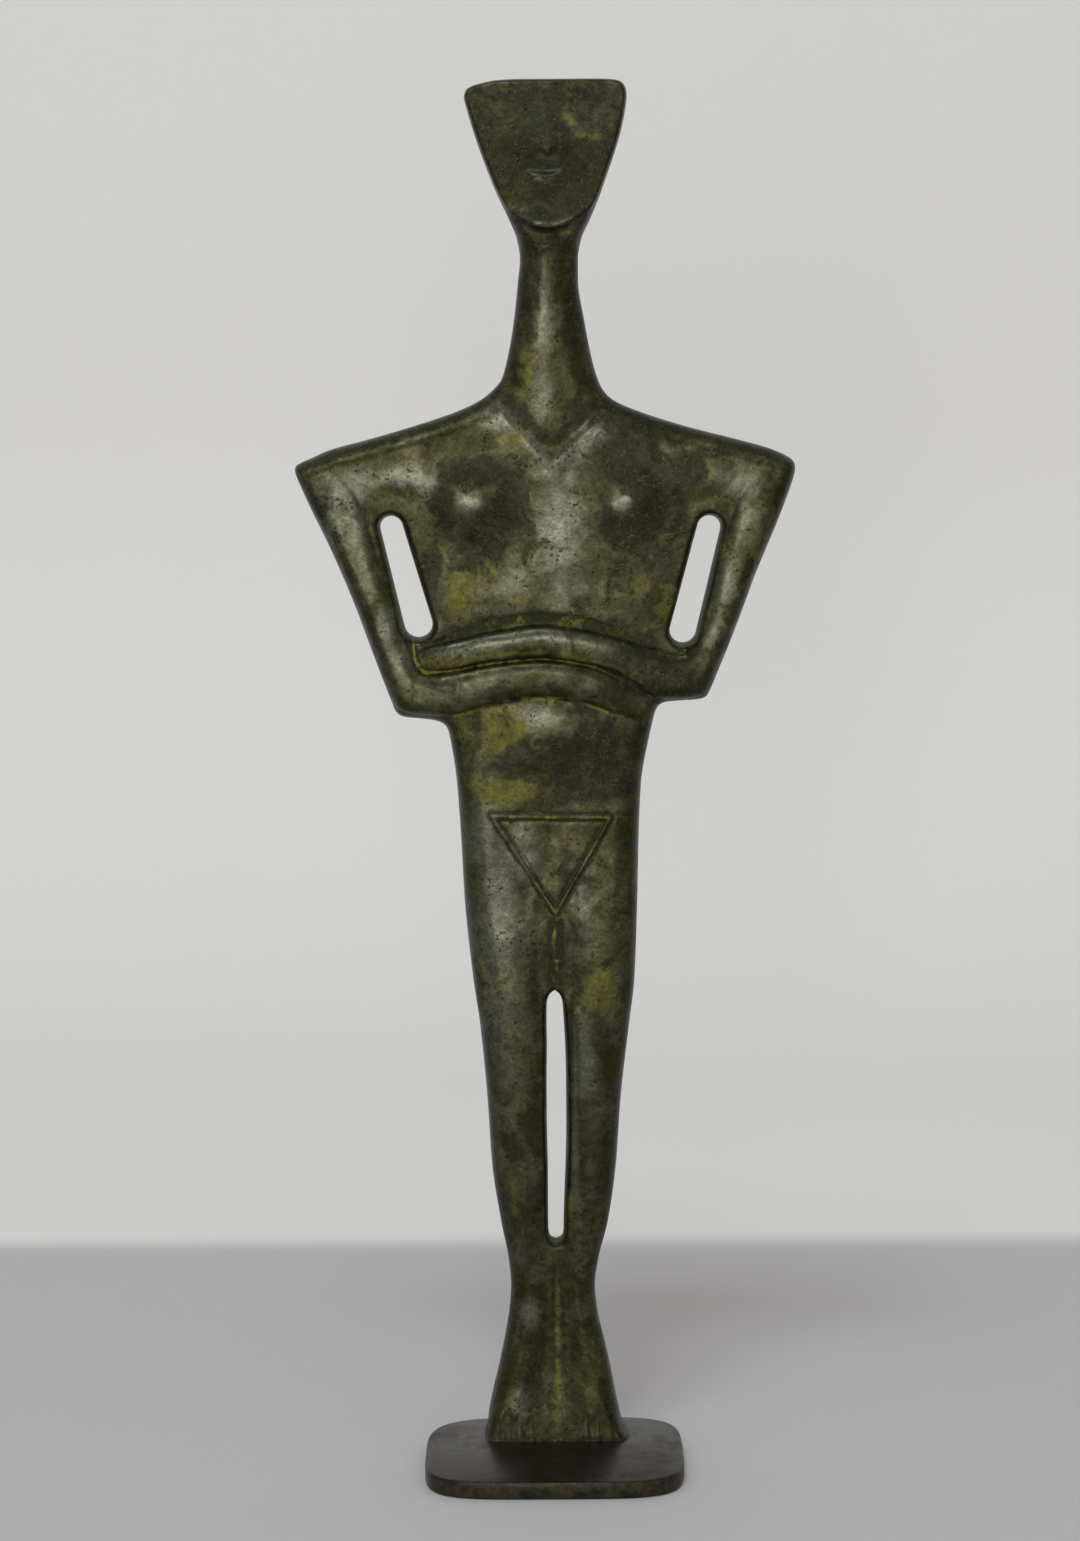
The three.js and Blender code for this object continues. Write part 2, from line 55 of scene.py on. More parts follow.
def nothing_selected():
    if bpy.context.object and bpy.context.object.mode == "EDIT":
        bpy.ops.object.mode_set(mode="OBJECT")
    bpy.ops.object.select_all(action="DESELECT")


def plate_reach(turn):
    across, back = cos(turn), sin(turn)
    rounder = across < 0 and back > 0
    power = 2 / (PLATE_SQUARENESS_BACK_RIGHT if rounder else PLATE_SQUARENESS)
    x = PLATE_WIDTH / 2 * np.sign(across) * abs(across) ** power
    y = PLATE_DEPTH / 2 * np.sign(back) * abs(back) ** power
    return CENTRING + x, y


nothing_selected()
bpy.ops.mesh.primitive_cylinder_add(
    vertices=PLATE_SIDES, radius=0.02, depth=PLATE_THICKNESS / 1000,
    location=(0, 0, PLATE_THICKNESS / 2000))
plate = bpy.context.object
plate.name = "foot_plate_bronze"
bpy.ops.object.transform_apply(location=True, rotation=True, scale=True)
for corner in plate.data.vertices:
    x, y = plate_reach(np.arctan2(corner.co.y, corner.co.x))
    corner.co.x, corner.co.y = x / 1000, y / 1000
bpy.ops.object.mode_set(mode="EDIT")
bpy.ops.mesh.select_all(action="DESELECT")
bpy.ops.object.mode_set(mode="OBJECT")
for edge in plate.data.edges:
    low, high = (plate.data.vertices[i].co.z for i in edge.vertices)
    edge.select = abs(low - high) < 1e-6
bpy.ops.object.mode_set(mode="EDIT")
bpy.ops.mesh.select_mode(type="EDGE")
bpy.ops.mesh.bevel(offset=PLATE_ARRIS / 1000, segments=4, affect="EDGES")
bpy.ops.mesh.select_all(action="SELECT")
bpy.ops.mesh.normals_make_consistent(inside=False)
bpy.ops.object.mode_set(mode="OBJECT")
bpy.ops.object.shade_smooth_by_angle(angle=radians(40))


# Its finish and the figure's are the same patina: wax over brown and green oxides.
def socket(tree, value, target):
    if hasattr(value, "is_output"):
        tree.links.new(value, target)
    else:
        target.default_value = value


def mathematics(tree, operation, *values, clamp=False):
    node = tree.nodes.new("ShaderNodeMath")
    node.operation = operation
    node.use_clamp = clamp
    for value, target in zip(values, node.inputs):
        socket(tree, value, target)
    return node.outputs[0]


def between(tree, value, low, high, start=0.0, end=1.0):
    node = tree.nodes.new("ShaderNodeMapRange")
    node.interpolation_type = "SMOOTHSTEP"
    for name, number in (("Value", value), ("From Min", low), ("From Max", high),
                         ("To Min", start), ("To Max", end)):
        socket(tree, number, node.inputs[name])
    return node.outputs[0]


def mix(tree, share, first, second, blend="MIX"):
    node = tree.nodes.new("ShaderNodeMix")
    node.data_type = "RGBA"
    node.blend_type = blend
    socket(tree, share, node.inputs[0])
    socket(tree, first, node.inputs[6])
    socket(tree, second, node.inputs[7])
    return node.outputs[2]


def noise(tree, vector, scale, detail=4.0, roughness=0.55, distortion=0.0):
    node = tree.nodes.new("ShaderNodeTexNoise")
    socket(tree, vector, node.inputs["Vector"])
    for name, value in (("Scale", scale), ("Detail", detail), ("Roughness", roughness),
                        ("Distortion", distortion)):
        socket(tree, value, node.inputs[name])
    return node.outputs["Fac"]


patina = bpy.data.node_groups.new("bronze_patina", "ShaderNodeTree")
for name, value in (("Vector", (0, 0, 0)), ("Residue", 0.0), ("Hollow", 0.0), ("Olive", 0.0),
                    ("Umber", 0.0), ("Worn", 0.0), ("Grain", 1.0), ("Roughness", 0.36),
                    ("Dark", (0.0155, 0.0138, 0.0078, 1)), ("Green", (0.033, 0.0315, 0.0105, 1)),
                    ("Brown Green", (0.073, 0.068, 0.031, 1)),
                    ("Moss Colour", (0.021, 0.0215, 0.0045, 1)),
                    ("Olive Colour", (0.125, 0.118, 0.017, 1)),
                    # The light grey-green is both rubbed patina and the colour of painted highlights.
                    ("Worn Colour", (0.132, 0.132, 0.098, 1)),
                    ("Residue Colour", (0.19, 0.18, 0.025, 1))):
    kind = {float: "Float", 3: "Vector", 4: "Color"}[
        float if isinstance(value, float) else len(value)]
    patina.interface.new_socket(
        name, in_out="INPUT", socket_type="NodeSocket" + kind).default_value = value
for name, kind in (("Colour", "Color"), ("Roughness", "Float"), ("Metallic", "Float"),
                   ("Height", "Float")):
    patina.interface.new_socket(name, in_out="OUTPUT", socket_type="NodeSocket" + kind)
given = patina.nodes.new("NodeGroupInput").outputs
result = patina.nodes.new("NodeGroupOutput").inputs
where = given["Vector"]

cloud = noise(patina, where, 70, 5, 0.5, 0.5)
fleck = noise(patina, where, 260, 6, 0.6, 0.8)
speck = noise(patina, where, 1500, 3, 0.6)
stretched = patina.nodes.new("ShaderNodeMapping")
stretched.inputs["Scale"].default_value = (0.8, 1, 1)
socket(patina, where, stretched.inputs["Vector"])
brushed = noise(patina, stretched.outputs["Vector"], 800, 4, 0.6, 0.6)
curl = mathematics(patina, "ABSOLUTE", mathematics(
    patina, "SUBTRACT", noise(patina, where, 260, 2.0, 0.5, 3.5), 0.5))
strokes = mathematics(patina, "MULTIPLY", between(patina, curl, 0.0, 0.02, 1.0, 0.0),
                      between(patina, fleck, 0.46, 0.54))
pit_cells = patina.nodes.new("ShaderNodeTexVoronoi")
pit_cells.inputs["Scale"].default_value = 950
socket(patina, where, pit_cells.inputs["Vector"])
pit_size = mathematics(patina, "MULTIPLY", between(patina, fleck, 0.5, 0.62), 0.26)
pits = between(patina, mathematics(patina, "SUBTRACT", pit_cells.outputs["Distance"], pit_size),
               0.0, 0.1, 1.0, 0.0)

wander = mathematics(patina, "ADD", mathematics(patina, "MULTIPLY_ADD", cloud, 4.0, -2.0),
                     mathematics(patina, "MULTIPLY_ADD", fleck, 2.4, -1.2))


def spread(name, low, high, share=1.0):
    """A share from the mesh, its edge broken up by the patina's mottling."""
    amount = mathematics(patina, "ADD", given[name],
                         mathematics(patina, "MULTIPLY", wander, share))
    return between(patina, amount, low, high)


olive = spread("Olive", 0.26, 0.7, 0.5)
hollow = spread("Hollow", 0.2, 0.7, 0.35)
# Darker towards dark patina, and painted shade.
umber = spread("Umber", 0.2, 0.75, 0.7)
# Lighter where the patina is rubbed on high places, and painted highlights.
worn = spread("Worn", 0.05, 0.95, 0.2)
# Yellow residue, and a few painted highlight lines.
residue = between(patina, mathematics(
    patina, "ADD", given["Residue"], mathematics(patina, "MULTIPLY_ADD", fleck, 1.6, -0.8)),
    0.3, 0.8)

colour = mix(patina, between(patina, cloud, 0.44, 0.54), given["Green"], given["Brown Green"])
colour = mix(patina, between(patina, fleck, 0.36, 0.5, 0.5, 0.0), colour, given["Dark"])
# Painted highlights and rubbed patina, in the light grey-green.
colour = mix(patina, mathematics(patina, "MULTIPLY", worn, 0.75), colour, given["Worn Colour"])
ochre = mix(patina, between(patina, fleck, 0.44, 0.56, 0.0, 0.5), given["Olive Colour"],
            given["Brown Green"])
colour = mix(patina, mathematics(patina, "MULTIPLY", olive, 0.9), colour, ochre)
# Dark patina and painted shade, in the darkest colour.
colour = mix(patina, mathematics(patina, "MULTIPLY", umber, 0.85), colour, given["Dark"])
moss = mix(patina, between(patina, fleck, 0.5, 0.62, 0.0, 0.5), given["Moss Colour"],
           given["Olive Colour"])
colour = mix(patina, mathematics(patina, "MULTIPLY", hollow, 0.85), colour, moss)
colour = mix(patina, mathematics(patina, "MULTIPLY", strokes, mathematics(
    patina, "MULTIPLY_ADD", umber, 0.5, 0.08)), colour, given["Olive Colour"])
colour = mix(patina, residue, colour, given["Residue Colour"])
grains = mathematics(patina, "MULTIPLY", between(patina, speck, 0.3, 0.7, 0.82, 1.18),
                     between(patina, brushed, 0.3, 0.7, 0.75, 1.25))
colour = mix(patina, 1.0, colour, grains, "MULTIPLY")
colour = mix(patina, mathematics(patina, "MULTIPLY", pits, 0.7), colour, given["Dark"])
patina.links.new(colour, result["Colour"])

chalky = mathematics(patina, "MAXIMUM", olive, mathematics(patina, "MAXIMUM", residue, hollow))
rough = mathematics(patina, "MULTIPLY_ADD", chalky, 0.14, given["Roughness"])
rough = mathematics(patina, "MULTIPLY_ADD", umber, 0.05, rough)
rough = mathematics(patina, "MULTIPLY_ADD", worn, -0.05, rough)
rough = mathematics(patina, "MULTIPLY_ADD", fleck, 0.2, mathematics(
    patina, "SUBTRACT", rough, 0.1), clamp=True)
patina.links.new(rough, result["Roughness"])
metal = mathematics(patina, "MULTIPLY_ADD", chalky, -0.4, 0.7, clamp=True)
patina.links.new(metal, result["Metallic"])
height = mathematics(patina, "MULTIPLY", speck, 0.35)
height = mathematics(patina, "MULTIPLY_ADD", fleck, 0.5, height)
height = mathematics(patina, "MULTIPLY_ADD", brushed, 0.35, height)
height = mathematics(patina, "MULTIPLY_ADD", strokes, 0.12, height)
height = mathematics(patina, "MULTIPLY_ADD", pits, -0.6, height)
height = mathematics(patina, "MULTIPLY", height, given["Grain"])
patina.links.new(height, result["Height"])


def bronze(name, shares, **values):
    """Waxed bronze with the patina group, each share a mesh attribute or a number."""
    material = bpy.data.materials.new(name)
    material.use_nodes = True
    tree = material.node_tree
    shader = tree.nodes["Principled BSDF"]
    shader.inputs["Specular IOR Level"].default_value = 0.18
    group = tree.nodes.new("ShaderNodeGroup")
    group.node_tree = patina
    coordinates = tree.nodes.new("ShaderNodeTexCoord")
    tree.links.new(coordinates.outputs["Object"], group.inputs["Vector"])
    for share in shares:
        layer = tree.nodes.new("ShaderNodeAttribute")
        layer.attribute_name = share
        tree.links.new(layer.outputs["Fac"], group.inputs[share.capitalize()])
    for socket_name, value in values.items():
        group.inputs[socket_name.replace("_", " ")].default_value = value
    bump = tree.nodes.new("ShaderNodeBump")
    bump.inputs["Strength"].default_value = 0.5
    bump.inputs["Distance"].default_value = 0.00015
    tree.links.new(group.outputs["Height"], bump.inputs["Height"])
    tree.links.new(bump.outputs["Normal"], shader.inputs["Normal"])
    tree.links.new(group.outputs["Colour"], shader.inputs["Base Color"])
    tree.links.new(group.outputs["Roughness"], shader.inputs["Roughness"])
    tree.links.new(group.outputs["Metallic"], shader.inputs["Metallic"])
    return material


edge_share = plate.data.attributes.new("olive", "FLOAT", "POINT")
edge_share.data.foreach_set("value", [
    0.62 if corner.co.z < (PLATE_THICKNESS - 0.4) / 1000 else 0.0
    for corner in plate.data.vertices])
plate.data.materials.clear()
plate.data.materials.append(bronze(
    "plate_patina", ["olive"], Umber=0.35, Grain=0.15, Roughness=0.33,
    Dark=(0.022, 0.017, 0.012, 1), Green=(0.028, 0.023, 0.015, 1),
    Brown_Green=(0.036, 0.030, 0.021, 1), Olive_Colour=(0.05, 0.038, 0.012, 1)))
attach(plate, "root")
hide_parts("foot_plate")


# Figure.
# One solid bronze casting, carved in the model and chased by hand: a flat body with slots beside
# the arms and between the legs, folded forearms as half-round bars, and a face like a shield that
# leans back. Its outline is given by heights with the reach of the right and of the left edge.
LEGS = [
    (3.5, 15.1, 16.8), (4.1, 14.8, 15.9), (4.9, 14.5, 15.1), (6.2, 14.3, 14.5), (8.5, 14.0, 13.95),
    (20, 11.45, 11.7), (31.5, 9.4, 9.25), (36, 9.08, 8.85), (41.5, 9.5, 9.55),
    (50.3, 11.1, 11.7), (63.4, 12.95, 13.5), (76.5, 13.7, 14.4), (93.9, 15.2, 16.35),
    (102.5, 16.4, 17.4), (119.7, 18.15, 18.1), (136.7, 19.0, 18.55), (145.2, 19.6, 19.0),
    (153.7, 20.75, 20.5),
]
RIGHT_ARM = [
    (155.8, 21.2), (156.9, 21.7), (157.7, 22.6), (158.3, 24.6), (158.6, 27.0), (158.9, 30.0),
    (159.4, 31.4), (160.3, 32.25), (162.2, 33.0), (172.7, 36.9), (183.2, 40.7), (193.7, 45.1),
    (204.1, 50.0), (208.3, 51.8), (209.6, 52.3), (210.4, 52.45), (211.2, 52.2), (212, 51.0),
    (212.7, 49.3), (214.4, 45.5),
]
LEFT_ARM = [
    (157.6, 21.35), (159.7, 21.9), (161, 22.6), (161.7, 23.8), (162.0, 26.0), (162.15, 29.0),
    (162.4, 31.3), (162.9, 32.5), (163.9, 33.15), (168, 34.9), (178.5, 39.1), (189, 43.0),
    (199.4, 47.35), (205.6, 49.7), (208.5, 50.65), (209.8, 50.95), (210.9, 50.9),
    (211.8, 50.45), (213.9, 46.7),
]
SHOULDERS_AND_HEAD = [
    (216.4, 38.0, 38.2), (218.5, 30.5, 30.0), (220.5, 23.9, 23.3), (222.5, 18.25, 17.6),
    (224.5, 14.1, 13.3), (226.6, 11.4, 11.25), (228.6, 9.7, 10.3), (232.7, 8.45, 9.1),
    (240.9, 6.95, 7.5), (249, 6.05, 6.3), (253.2, 5.62, 6.3), (257.2, 6.2, 6.95),
    (261.3, 7.8, 8.8), (267.4, 10.65, 11.3), (283.8, 16.35, 16.2), (286.4, 16.95, 16.5),
    (287.7, 16.6, 16.4), (288.5, 15.6, 16.1), (289.3, 12.9, 15.4), (289.8, 10.3, 14.0),
    (290, 7.0, 11.0),
]
# Height, front and back of the figure seen from the side, before the carving.
SIDE = [
    (3.5, 4.7, 19.4), (4.3, 5.15, 19.0), (5.4, 5.4, 18.8), (8, 5.7, 18.6), (16, 7.0, 18.0), (28, 7.8, 17.4),
    (36, 7.8, 16.8), (50, 6.6, 17.0), (64, 5.2, 17.0), (80, 3.8, 16.0), (92, 3.0, 15.1),
    (104, 2.7, 15.2), (120, 2.6, 16.2), (134, 2.6, 16.6), (146, 2.5, 15.6), (156, 2.4, 14.2),
    (165, 2.4, 13.4), (180, 2.4, 13.0), (200, 2.5, 13.2), (212, 2.6, 13.0), (222, 2.5, 12.6),
    (235, 2.5, 12.6), (250, 2.9, 12.8), (258, 3.1, 13.2), (265, 3.4, 13.8), (275, 5.2, 15.0),
    (285, 8.4, 16.6), (290, 9.6, 16.8),
]
# Height, and how far in from the outline the front and the back are rounded over.
ROUNDING = [
    (3.5, 1.2, 1.2), (9, 2.6, 2.6), (20, 4.4, 4.4), (36, 5.0, 5.0), (60, 6.0, 6.0),
    (110, 6.2, 6.2), (150, 5.4, 5.6), (162, 3.4, 4.2), (205, 3.2, 3.9), (214, 4.4, 4.0), (224, 5.6, 4.8),
    (232, 6.0, 6.0), (252, 5.2, 5.6), (260, 2.2, 3.4), (266, 0.9, 2.6), (290, 0.8, 2.0),
]
FOOT_BOTTOM = 2.8
GRAIN = 0.3
MOST_TRIANGLES = 190000


def through(rows, column=1):
    """A smooth curve through the rows' values that never swings past one of them."""
    at = np.array([row[0] for row in rows], float)
    value = np.array([row[column] for row in rows], float)
    run = np.diff(at)
    steep = np.diff(value) / run
    slope = np.concatenate(([steep[0]], np.zeros(len(at) - 2), [steep[-1]]))
    before, after = run[:-1], run[1:]
    with np.errstate(divide="ignore", invalid="ignore"):
        mean = 3 * (before + after) / (
            (2 * after + before) / steep[:-1] + (after + 2 * before) / steep[1:])
    slope[1:-1] = np.where(steep[:-1] * steep[1:] > 0, mean, 0)

    def curve(t):
        t = np.clip(t, at[0], at[-1])
        i = np.clip(np.searchsorted(at, t) - 1, 0, len(run) - 1)
        s = (t - at[i]) / run[i]
        keep = (1 + 2 * s) * (1 - s) ** 2
        swing = run[i] * s * (1 - s) * ((1 - s) * slope[i] - s * slope[i + 1])
        return value[i] * keep + value[i + 1] * (1 - keep) + swing

    return curve


def ease(t):
    t = np.clip(t, 0, 1)
    return t * t * (3 - 2 * t)


def greater(a, b, fillet):
    """The greater of two, with a fillet where they meet."""
    share = np.clip(0.5 + 0.5 * (a - b) / fillet, 0, 1)
    return b + (a - b) * share + fillet * share * (1 - share)


right_reach = through(LEGS + RIGHT_ARM + SHOULDERS_AND_HEAD)
left_reach = through([(z, left) for z, _, left in LEGS] + LEFT_ARM
                     + [(z, left) for z, _, left in SHOULDERS_AND_HEAD])

across = np.arange(-54.6, 53.4, GRAIN)
up = np.arange(FOOT_BOTTOM - 3 * GRAIN, 291.2, GRAIN)
X, Z = np.meshgrid(across, up, indexing="ij")


def along_line(line, reach, closed=False):
    """Steps along a line of points: the patch of the front near each, and how far along it is."""
    line = np.array(line, float)
    if closed:
        line = np.vstack((line, line[:1]))
    for i in range(len(line) - 1):
        a, b = line[i, :2], line[i + 1, :2]
        low, high = np.minimum(a, b) - reach, np.maximum(a, b) + reach
        columns = slice(*np.searchsorted(across, (low[0], high[0])))
        rows = slice(*np.searchsorted(up, (low[1], high[1])))
        x, z = X[columns, rows], Z[columns, rows]
        run = b - a
        share = ((x - a[0]) * run[0] + (z - a[1]) * run[1]) / max(run @ run, 1e-9)
        share = np.clip(share, 0, 1)
        away = np.hypot(x - a[0] - share * run[0], z - a[1] - share * run[1])
        yield (columns, rows), away, line[i] + share[..., None] * (line[i + 1] - line[i])


def distance(line, reach, closed=False):
    nearest = np.full(X.shape, float(reach))
    for patch, away, _ in along_line(line, reach, closed):
        nearest[patch] = np.minimum(nearest[patch], away)
    return nearest


def bar(stations):
    """A half-round bar: stations of place across, height, half-width and rise."""
    rise = np.zeros(X.shape)
    reach = max(row[2] for row in stations)
    for patch, away, station in along_line(stations, reach):
        across_bar = np.clip(away / station[..., 2], 0, 1)
        rise[patch] = np.maximum(rise[patch], station[..., 3] * np.sqrt(1 - across_bar ** 2.6))
    return rise


def soft(line, width, reach=3):
    """1 on a line and fading to 0 beside it."""
    return np.exp(-(distance(line, reach * width) / width) ** 2) * (
        distance(line, reach * width) < reach * width)


def mound(x, z, rx, rz):
    return np.exp(-((X - x) / rx) ** 2 - ((Z - z) / rz) ** 2)


def smooth_line(rows, steps=12):
    """Points and sizes along a smooth curve through a few stations."""
    rows = np.array(rows, float)
    length = np.concatenate(([0], np.cumsum(np.hypot(*np.diff(rows[:, :2], axis=0).T))))
    t = np.linspace(0, length[-1], steps * (len(rows) - 1))
    return np.stack([through(list(zip(length, column)))(t) for column in rows.T], 1)


heights = np.concatenate((np.arange(FOOT_BOTTOM - 9, 155, 0.5), np.arange(155, 164, 0.1),
                          np.arange(164, 208, 0.5), np.arange(208, 214, 0.15),
                          np.arange(214, 284, 0.5), np.arange(284, 290.01, 0.1)))
outline = np.concatenate((np.stack((-right_reach(heights), heights), 1),
                          np.stack((left_reach(heights), heights), 1)[::-1]))
inside = (X > -right_reach(Z)) & (X < left_reach(Z)) & (Z < 290)
from_edge = np.where(inside, 1, -1) * distance(outline, 9, closed=True)

# Slots, with their rims rounded over.
ARM_SLOT_RIM = 1.4
LEG_SLOT_RIM = 1.1
ARM_SLOTS = [
    ((-32.6, 198.5), 2.35, (-27.25, 178.5), 2.95),
    ((33.1, 198.15), 2.42, (27.7, 176.85), 2.75),
]


def arm_slot(top, top_radius, bottom, bottom_radius):
    lean = np.arctan2(top[1] - bottom[1], top[0] - bottom[0])
    arcs = []
    for (x, z), radius, start in ((top, top_radius, -pi / 2), (bottom, bottom_radius, pi / 2)):
        turn = lean + start + np.linspace(0, pi, 24)
        arcs.append(np.stack((x + radius * np.cos(turn), z + radius * np.sin(turn)), 1))
    return np.concatenate(arcs)


def leg_slot():
    half = through([(46.1, 0), (46.35, 0.85), (47, 1.35), (48.2, 1.6), (52, 1.66), (62, 1.85),
                    (72, 2.05), (80, 2.05), (90, 1.9), (98, 1.65), (99.5, 1.35), (100.5, 0.8),
                    (101.2, 0)])
    z = np.concatenate((np.linspace(46.1, 48.2, 14), np.linspace(49, 97, 40),
                        np.linspace(98, 101.2, 16)))
    x = 0.6 + 0.26 * ease((z - 50) / 16) * ease((99 - z) / 12)
    return np.concatenate((np.stack((x - half(z), z), 1), np.stack((x + half(z), z), 1)[::-1]))


slots = [arm_slot(*sizes) for sizes in ARM_SLOTS] + [leg_slot()]
beside_slot = np.zeros(X.shape)
for line, slot_rim in zip(slots, (ARM_SLOT_RIM, ARM_SLOT_RIM, LEG_SLOT_RIM)):
    cut = np.zeros(X.shape, bool)
    for (ax, az), (bx, bz) in zip(line, np.roll(line, -1, axis=0)):
        rows = (az > Z) != (bz > Z)
        with np.errstate(divide="ignore", invalid="ignore"):
            cut ^= rows & (X < ax + (Z - az) / (bz - az) * (bx - ax))
    from_slot = np.where(cut, -1, 1) * distance(line, 9, closed=True)
    beside_slot = np.maximum(beside_slot, np.clip(1 - from_slot / slot_rim, 0, 3))

# Carving on the front, as rises and hollows in millimetres.
front_plane, back_plane = through(SIDE, 1)(Z), through(SIDE, 2)(Z)
middle = (front_plane + back_plane) / 2
rise = np.zeros(X.shape)

# Legs: each a rounded column, the left one with a narrow bevel beside the slot.
for x, top in ((-7.9, 128), (7.6, 128)):
    lean = x * (1 + 0.006 * np.clip(Z - 75, -10, 60))
    rise += 0.9 * np.exp(-((X - lean) / 6) ** 2) * ease((top - Z) / 20) * ease((Z - 8) / 30)
rise += 0.45 * soft([(4.6, 97), (4.7, 80), (4.1, 60), (3.1, 44), (2.6, 36)], 0.8)
parting = np.exp(-((X - 0.7) / (2.3 + 0.9 * ease((Z - 97) / 6))) ** 2)
rise -= 1.9 * parting * ease((120 - Z) / 8) * ease((Z - 1) / 6)
between_feet = [(0.7, 45), (0.9, 30), (0.7, 3)]
from_strip = distance(between_feet, 4)
strip_width = 0.4 + 0.45 * ease((40 - Z) / 28)
strip_fade = ease((45.5 - Z) / 7)
strip = np.exp(-(from_strip / strip_width) ** 2) * strip_fade
beside_strip = np.exp(-((from_strip - 2.1 * strip_width) / 0.5) ** 2) * strip_fade
fork = np.exp(-((X - 0.8) / 1.5) ** 2) * ease((119 - Z) / 3) * ease((Z - 98) / 3)
bead_line = soft([(1.0, 117), (0.6, 112), (0.9, 107), (0.8, 101)], 0.7)
beads = bead_line * (0.2 + 0.8 * np.cos(pi * Z / 1.5) ** 2)
# Painted shade in the grooves beside the beads.
beside_beads = np.exp(-((X - 0.8) / 1.8) ** 4) * ease((118 - Z) / 2) * ease((Z - 98) / 3)
rise += 0.3 * strip - 0.3 * beside_strip - 1.0 * fork + 1.1 * beads

# Toes: pointed arches drawn over the front of the feet.
toes = np.zeros(X.shape)
for x, half, top in ((-12.4, 1.5, 8.6), (-9.9, 1.25, 9.6), (-7.4, 1.25, 9.3), (-4.9, 1.2, 8.7),
                     (4.6, 1.1, 8.6), (6.9, 1.1, 9.3), (9.2, 1.2, 9.6), (11.7, 1.4, 8.6)):
    arch = [(x - half, 3.6), (x - 0.6 * half, top - 1.9), (x, top),
            (x + 0.6 * half, top - 1.9), (x + half, 3.6)]
    toes = np.maximum(toes, soft(arch, 0.42))
rise -= 0.45 * toes

# Triangle: a fine raised line between two cut ones.
to_triangle = distance([(-12.2, 138.5), (12.4, 138.1), (0.9, 118.1)], 3, closed=True)
triangle = np.exp(-((to_triangle - 0.75) / 0.28) ** 2)
triangle_ridge = np.exp(-(to_triangle / 0.38) ** 2)
rise += 0.34 * triangle_ridge - 0.5 * triangle

# Belly and breasts.
rise += 1.5 * mound(0, 156.4, 12, 6.6)
for x in (-15.0, 15.2):
    cone = 0.23 * (9.5 - np.sqrt((X - x) ** 2 + 1.15 * (Z - 203.4) ** 2 + 1.9 ** 2))
    rise += 0.5 * (cone + np.sqrt(cone ** 2 + 0.12))

# Neck: a column that sinks behind the edge of the chest in a V.
ridge = 0.35 + 0.3 * ease((Z - 228) / 14)
rise += ridge * np.exp(-((X + 0.3) / 3.8) ** 2) * ease((Z - 214) / 7) * ease((262 - Z) / 6)
rise += 1.1 * ease((Z - 251) / 8) * ease((268 - Z) / 6)
neck_slope = np.where(X < 0.5, 1.05, 0.9)
above_v = (Z - 213.9 - neck_slope * (np.hypot(X - 0.5, 0.8) - 0.8)) / np.hypot(1, neck_slope)
v_fade = ease((12.5 - abs(X)) / 5) * ease((229 - Z) / 5)
off_ledge = ease((above_v + 1.8) / 2.4)
rise += 0.35 * v_fade * (1 - off_ledge) * np.exp(-np.clip(-1.8 - above_v, 0, None) / 6)
rise -= 0.6 * v_fade * off_ledge * np.exp(-np.clip(above_v - 0.6, 0, None) / 4)
neck_shade = v_fade * np.exp(-((above_v - 1.6) / 1.7) ** 2)
# Painted highlights on the chest's rounded edge beside the V, and a thin painted highlight along the V's edge on
# the figure's right.
right_ledge = v_fade * ease((1.5 - X) / 3) * np.exp(-((above_v + 1.0) / 1.3) ** 2)
left_ledge = v_fade * ease((X + 1.5) / 3) * np.exp(-((above_v + 2.8) / 2.6) ** 2)
v_edge = v_fade * ease((1.5 - X) / 3) * np.exp(-((above_v + 0.5) / 0.6) ** 2)

# Arms: the valley above the folded forearms, then the arms themselves as half-round bars.
valley_edge = 181.3 - (X + 2.5) ** 2 / 73
below_edge = np.clip(valley_edge - Z, 0, 6)
ends = ease((X + 28.5) / 3) * ease((23.5 - X) / 5) * ease((Z - 168) / 4)
valley = ease(below_edge / 0.9) * ends
rise -= 0.45 * valley + 0.22 * below_edge * ends
armpits = np.maximum(
    soft([(-28.5, 204.6), (-33, 206), (-36, 205), (-36.6, 198), (-34, 186), (-31.2, 177.5)], 1.9),
    soft([(29.5, 204.4), (33.5, 205.6), (36.4, 204.6), (37.1, 198), (34.5, 186), (31.7, 176)], 1.9))
rise -= 0.45 * armpits
rise += 0.6 * soft([(-44, 207.3), (-36, 209), (-26, 208), (-20, 206)], 4.6)
rise += 0.6 * soft([(43.5, 206.8), (36, 208.5), (26, 207.6), (20, 206)], 4.6)
right_arm = bar(smooth_line([
    (-45.4, 209, 2.4, 0.1), (-42.6, 202, 3.9, 1.0), (-38.6, 189, 4.2, 1.5),
    (-33.8, 174.5, 4.3, 1.8), (-31.6, 168, 4.4, 1.9), (-28.8, 164.6, 4.4, 1.9),
    (-24, 163.9, 4.4, 2.0), (-12, 166.2, 4.25, 2.35), (-2, 167.4, 4.1, 2.4),
    (8, 165.9, 4.0, 2.1), (14, 163.6, 3.5, 1.5), (19.5, 160.8, 2.6, 0.8), (23, 158.6, 1.6, 0)]))
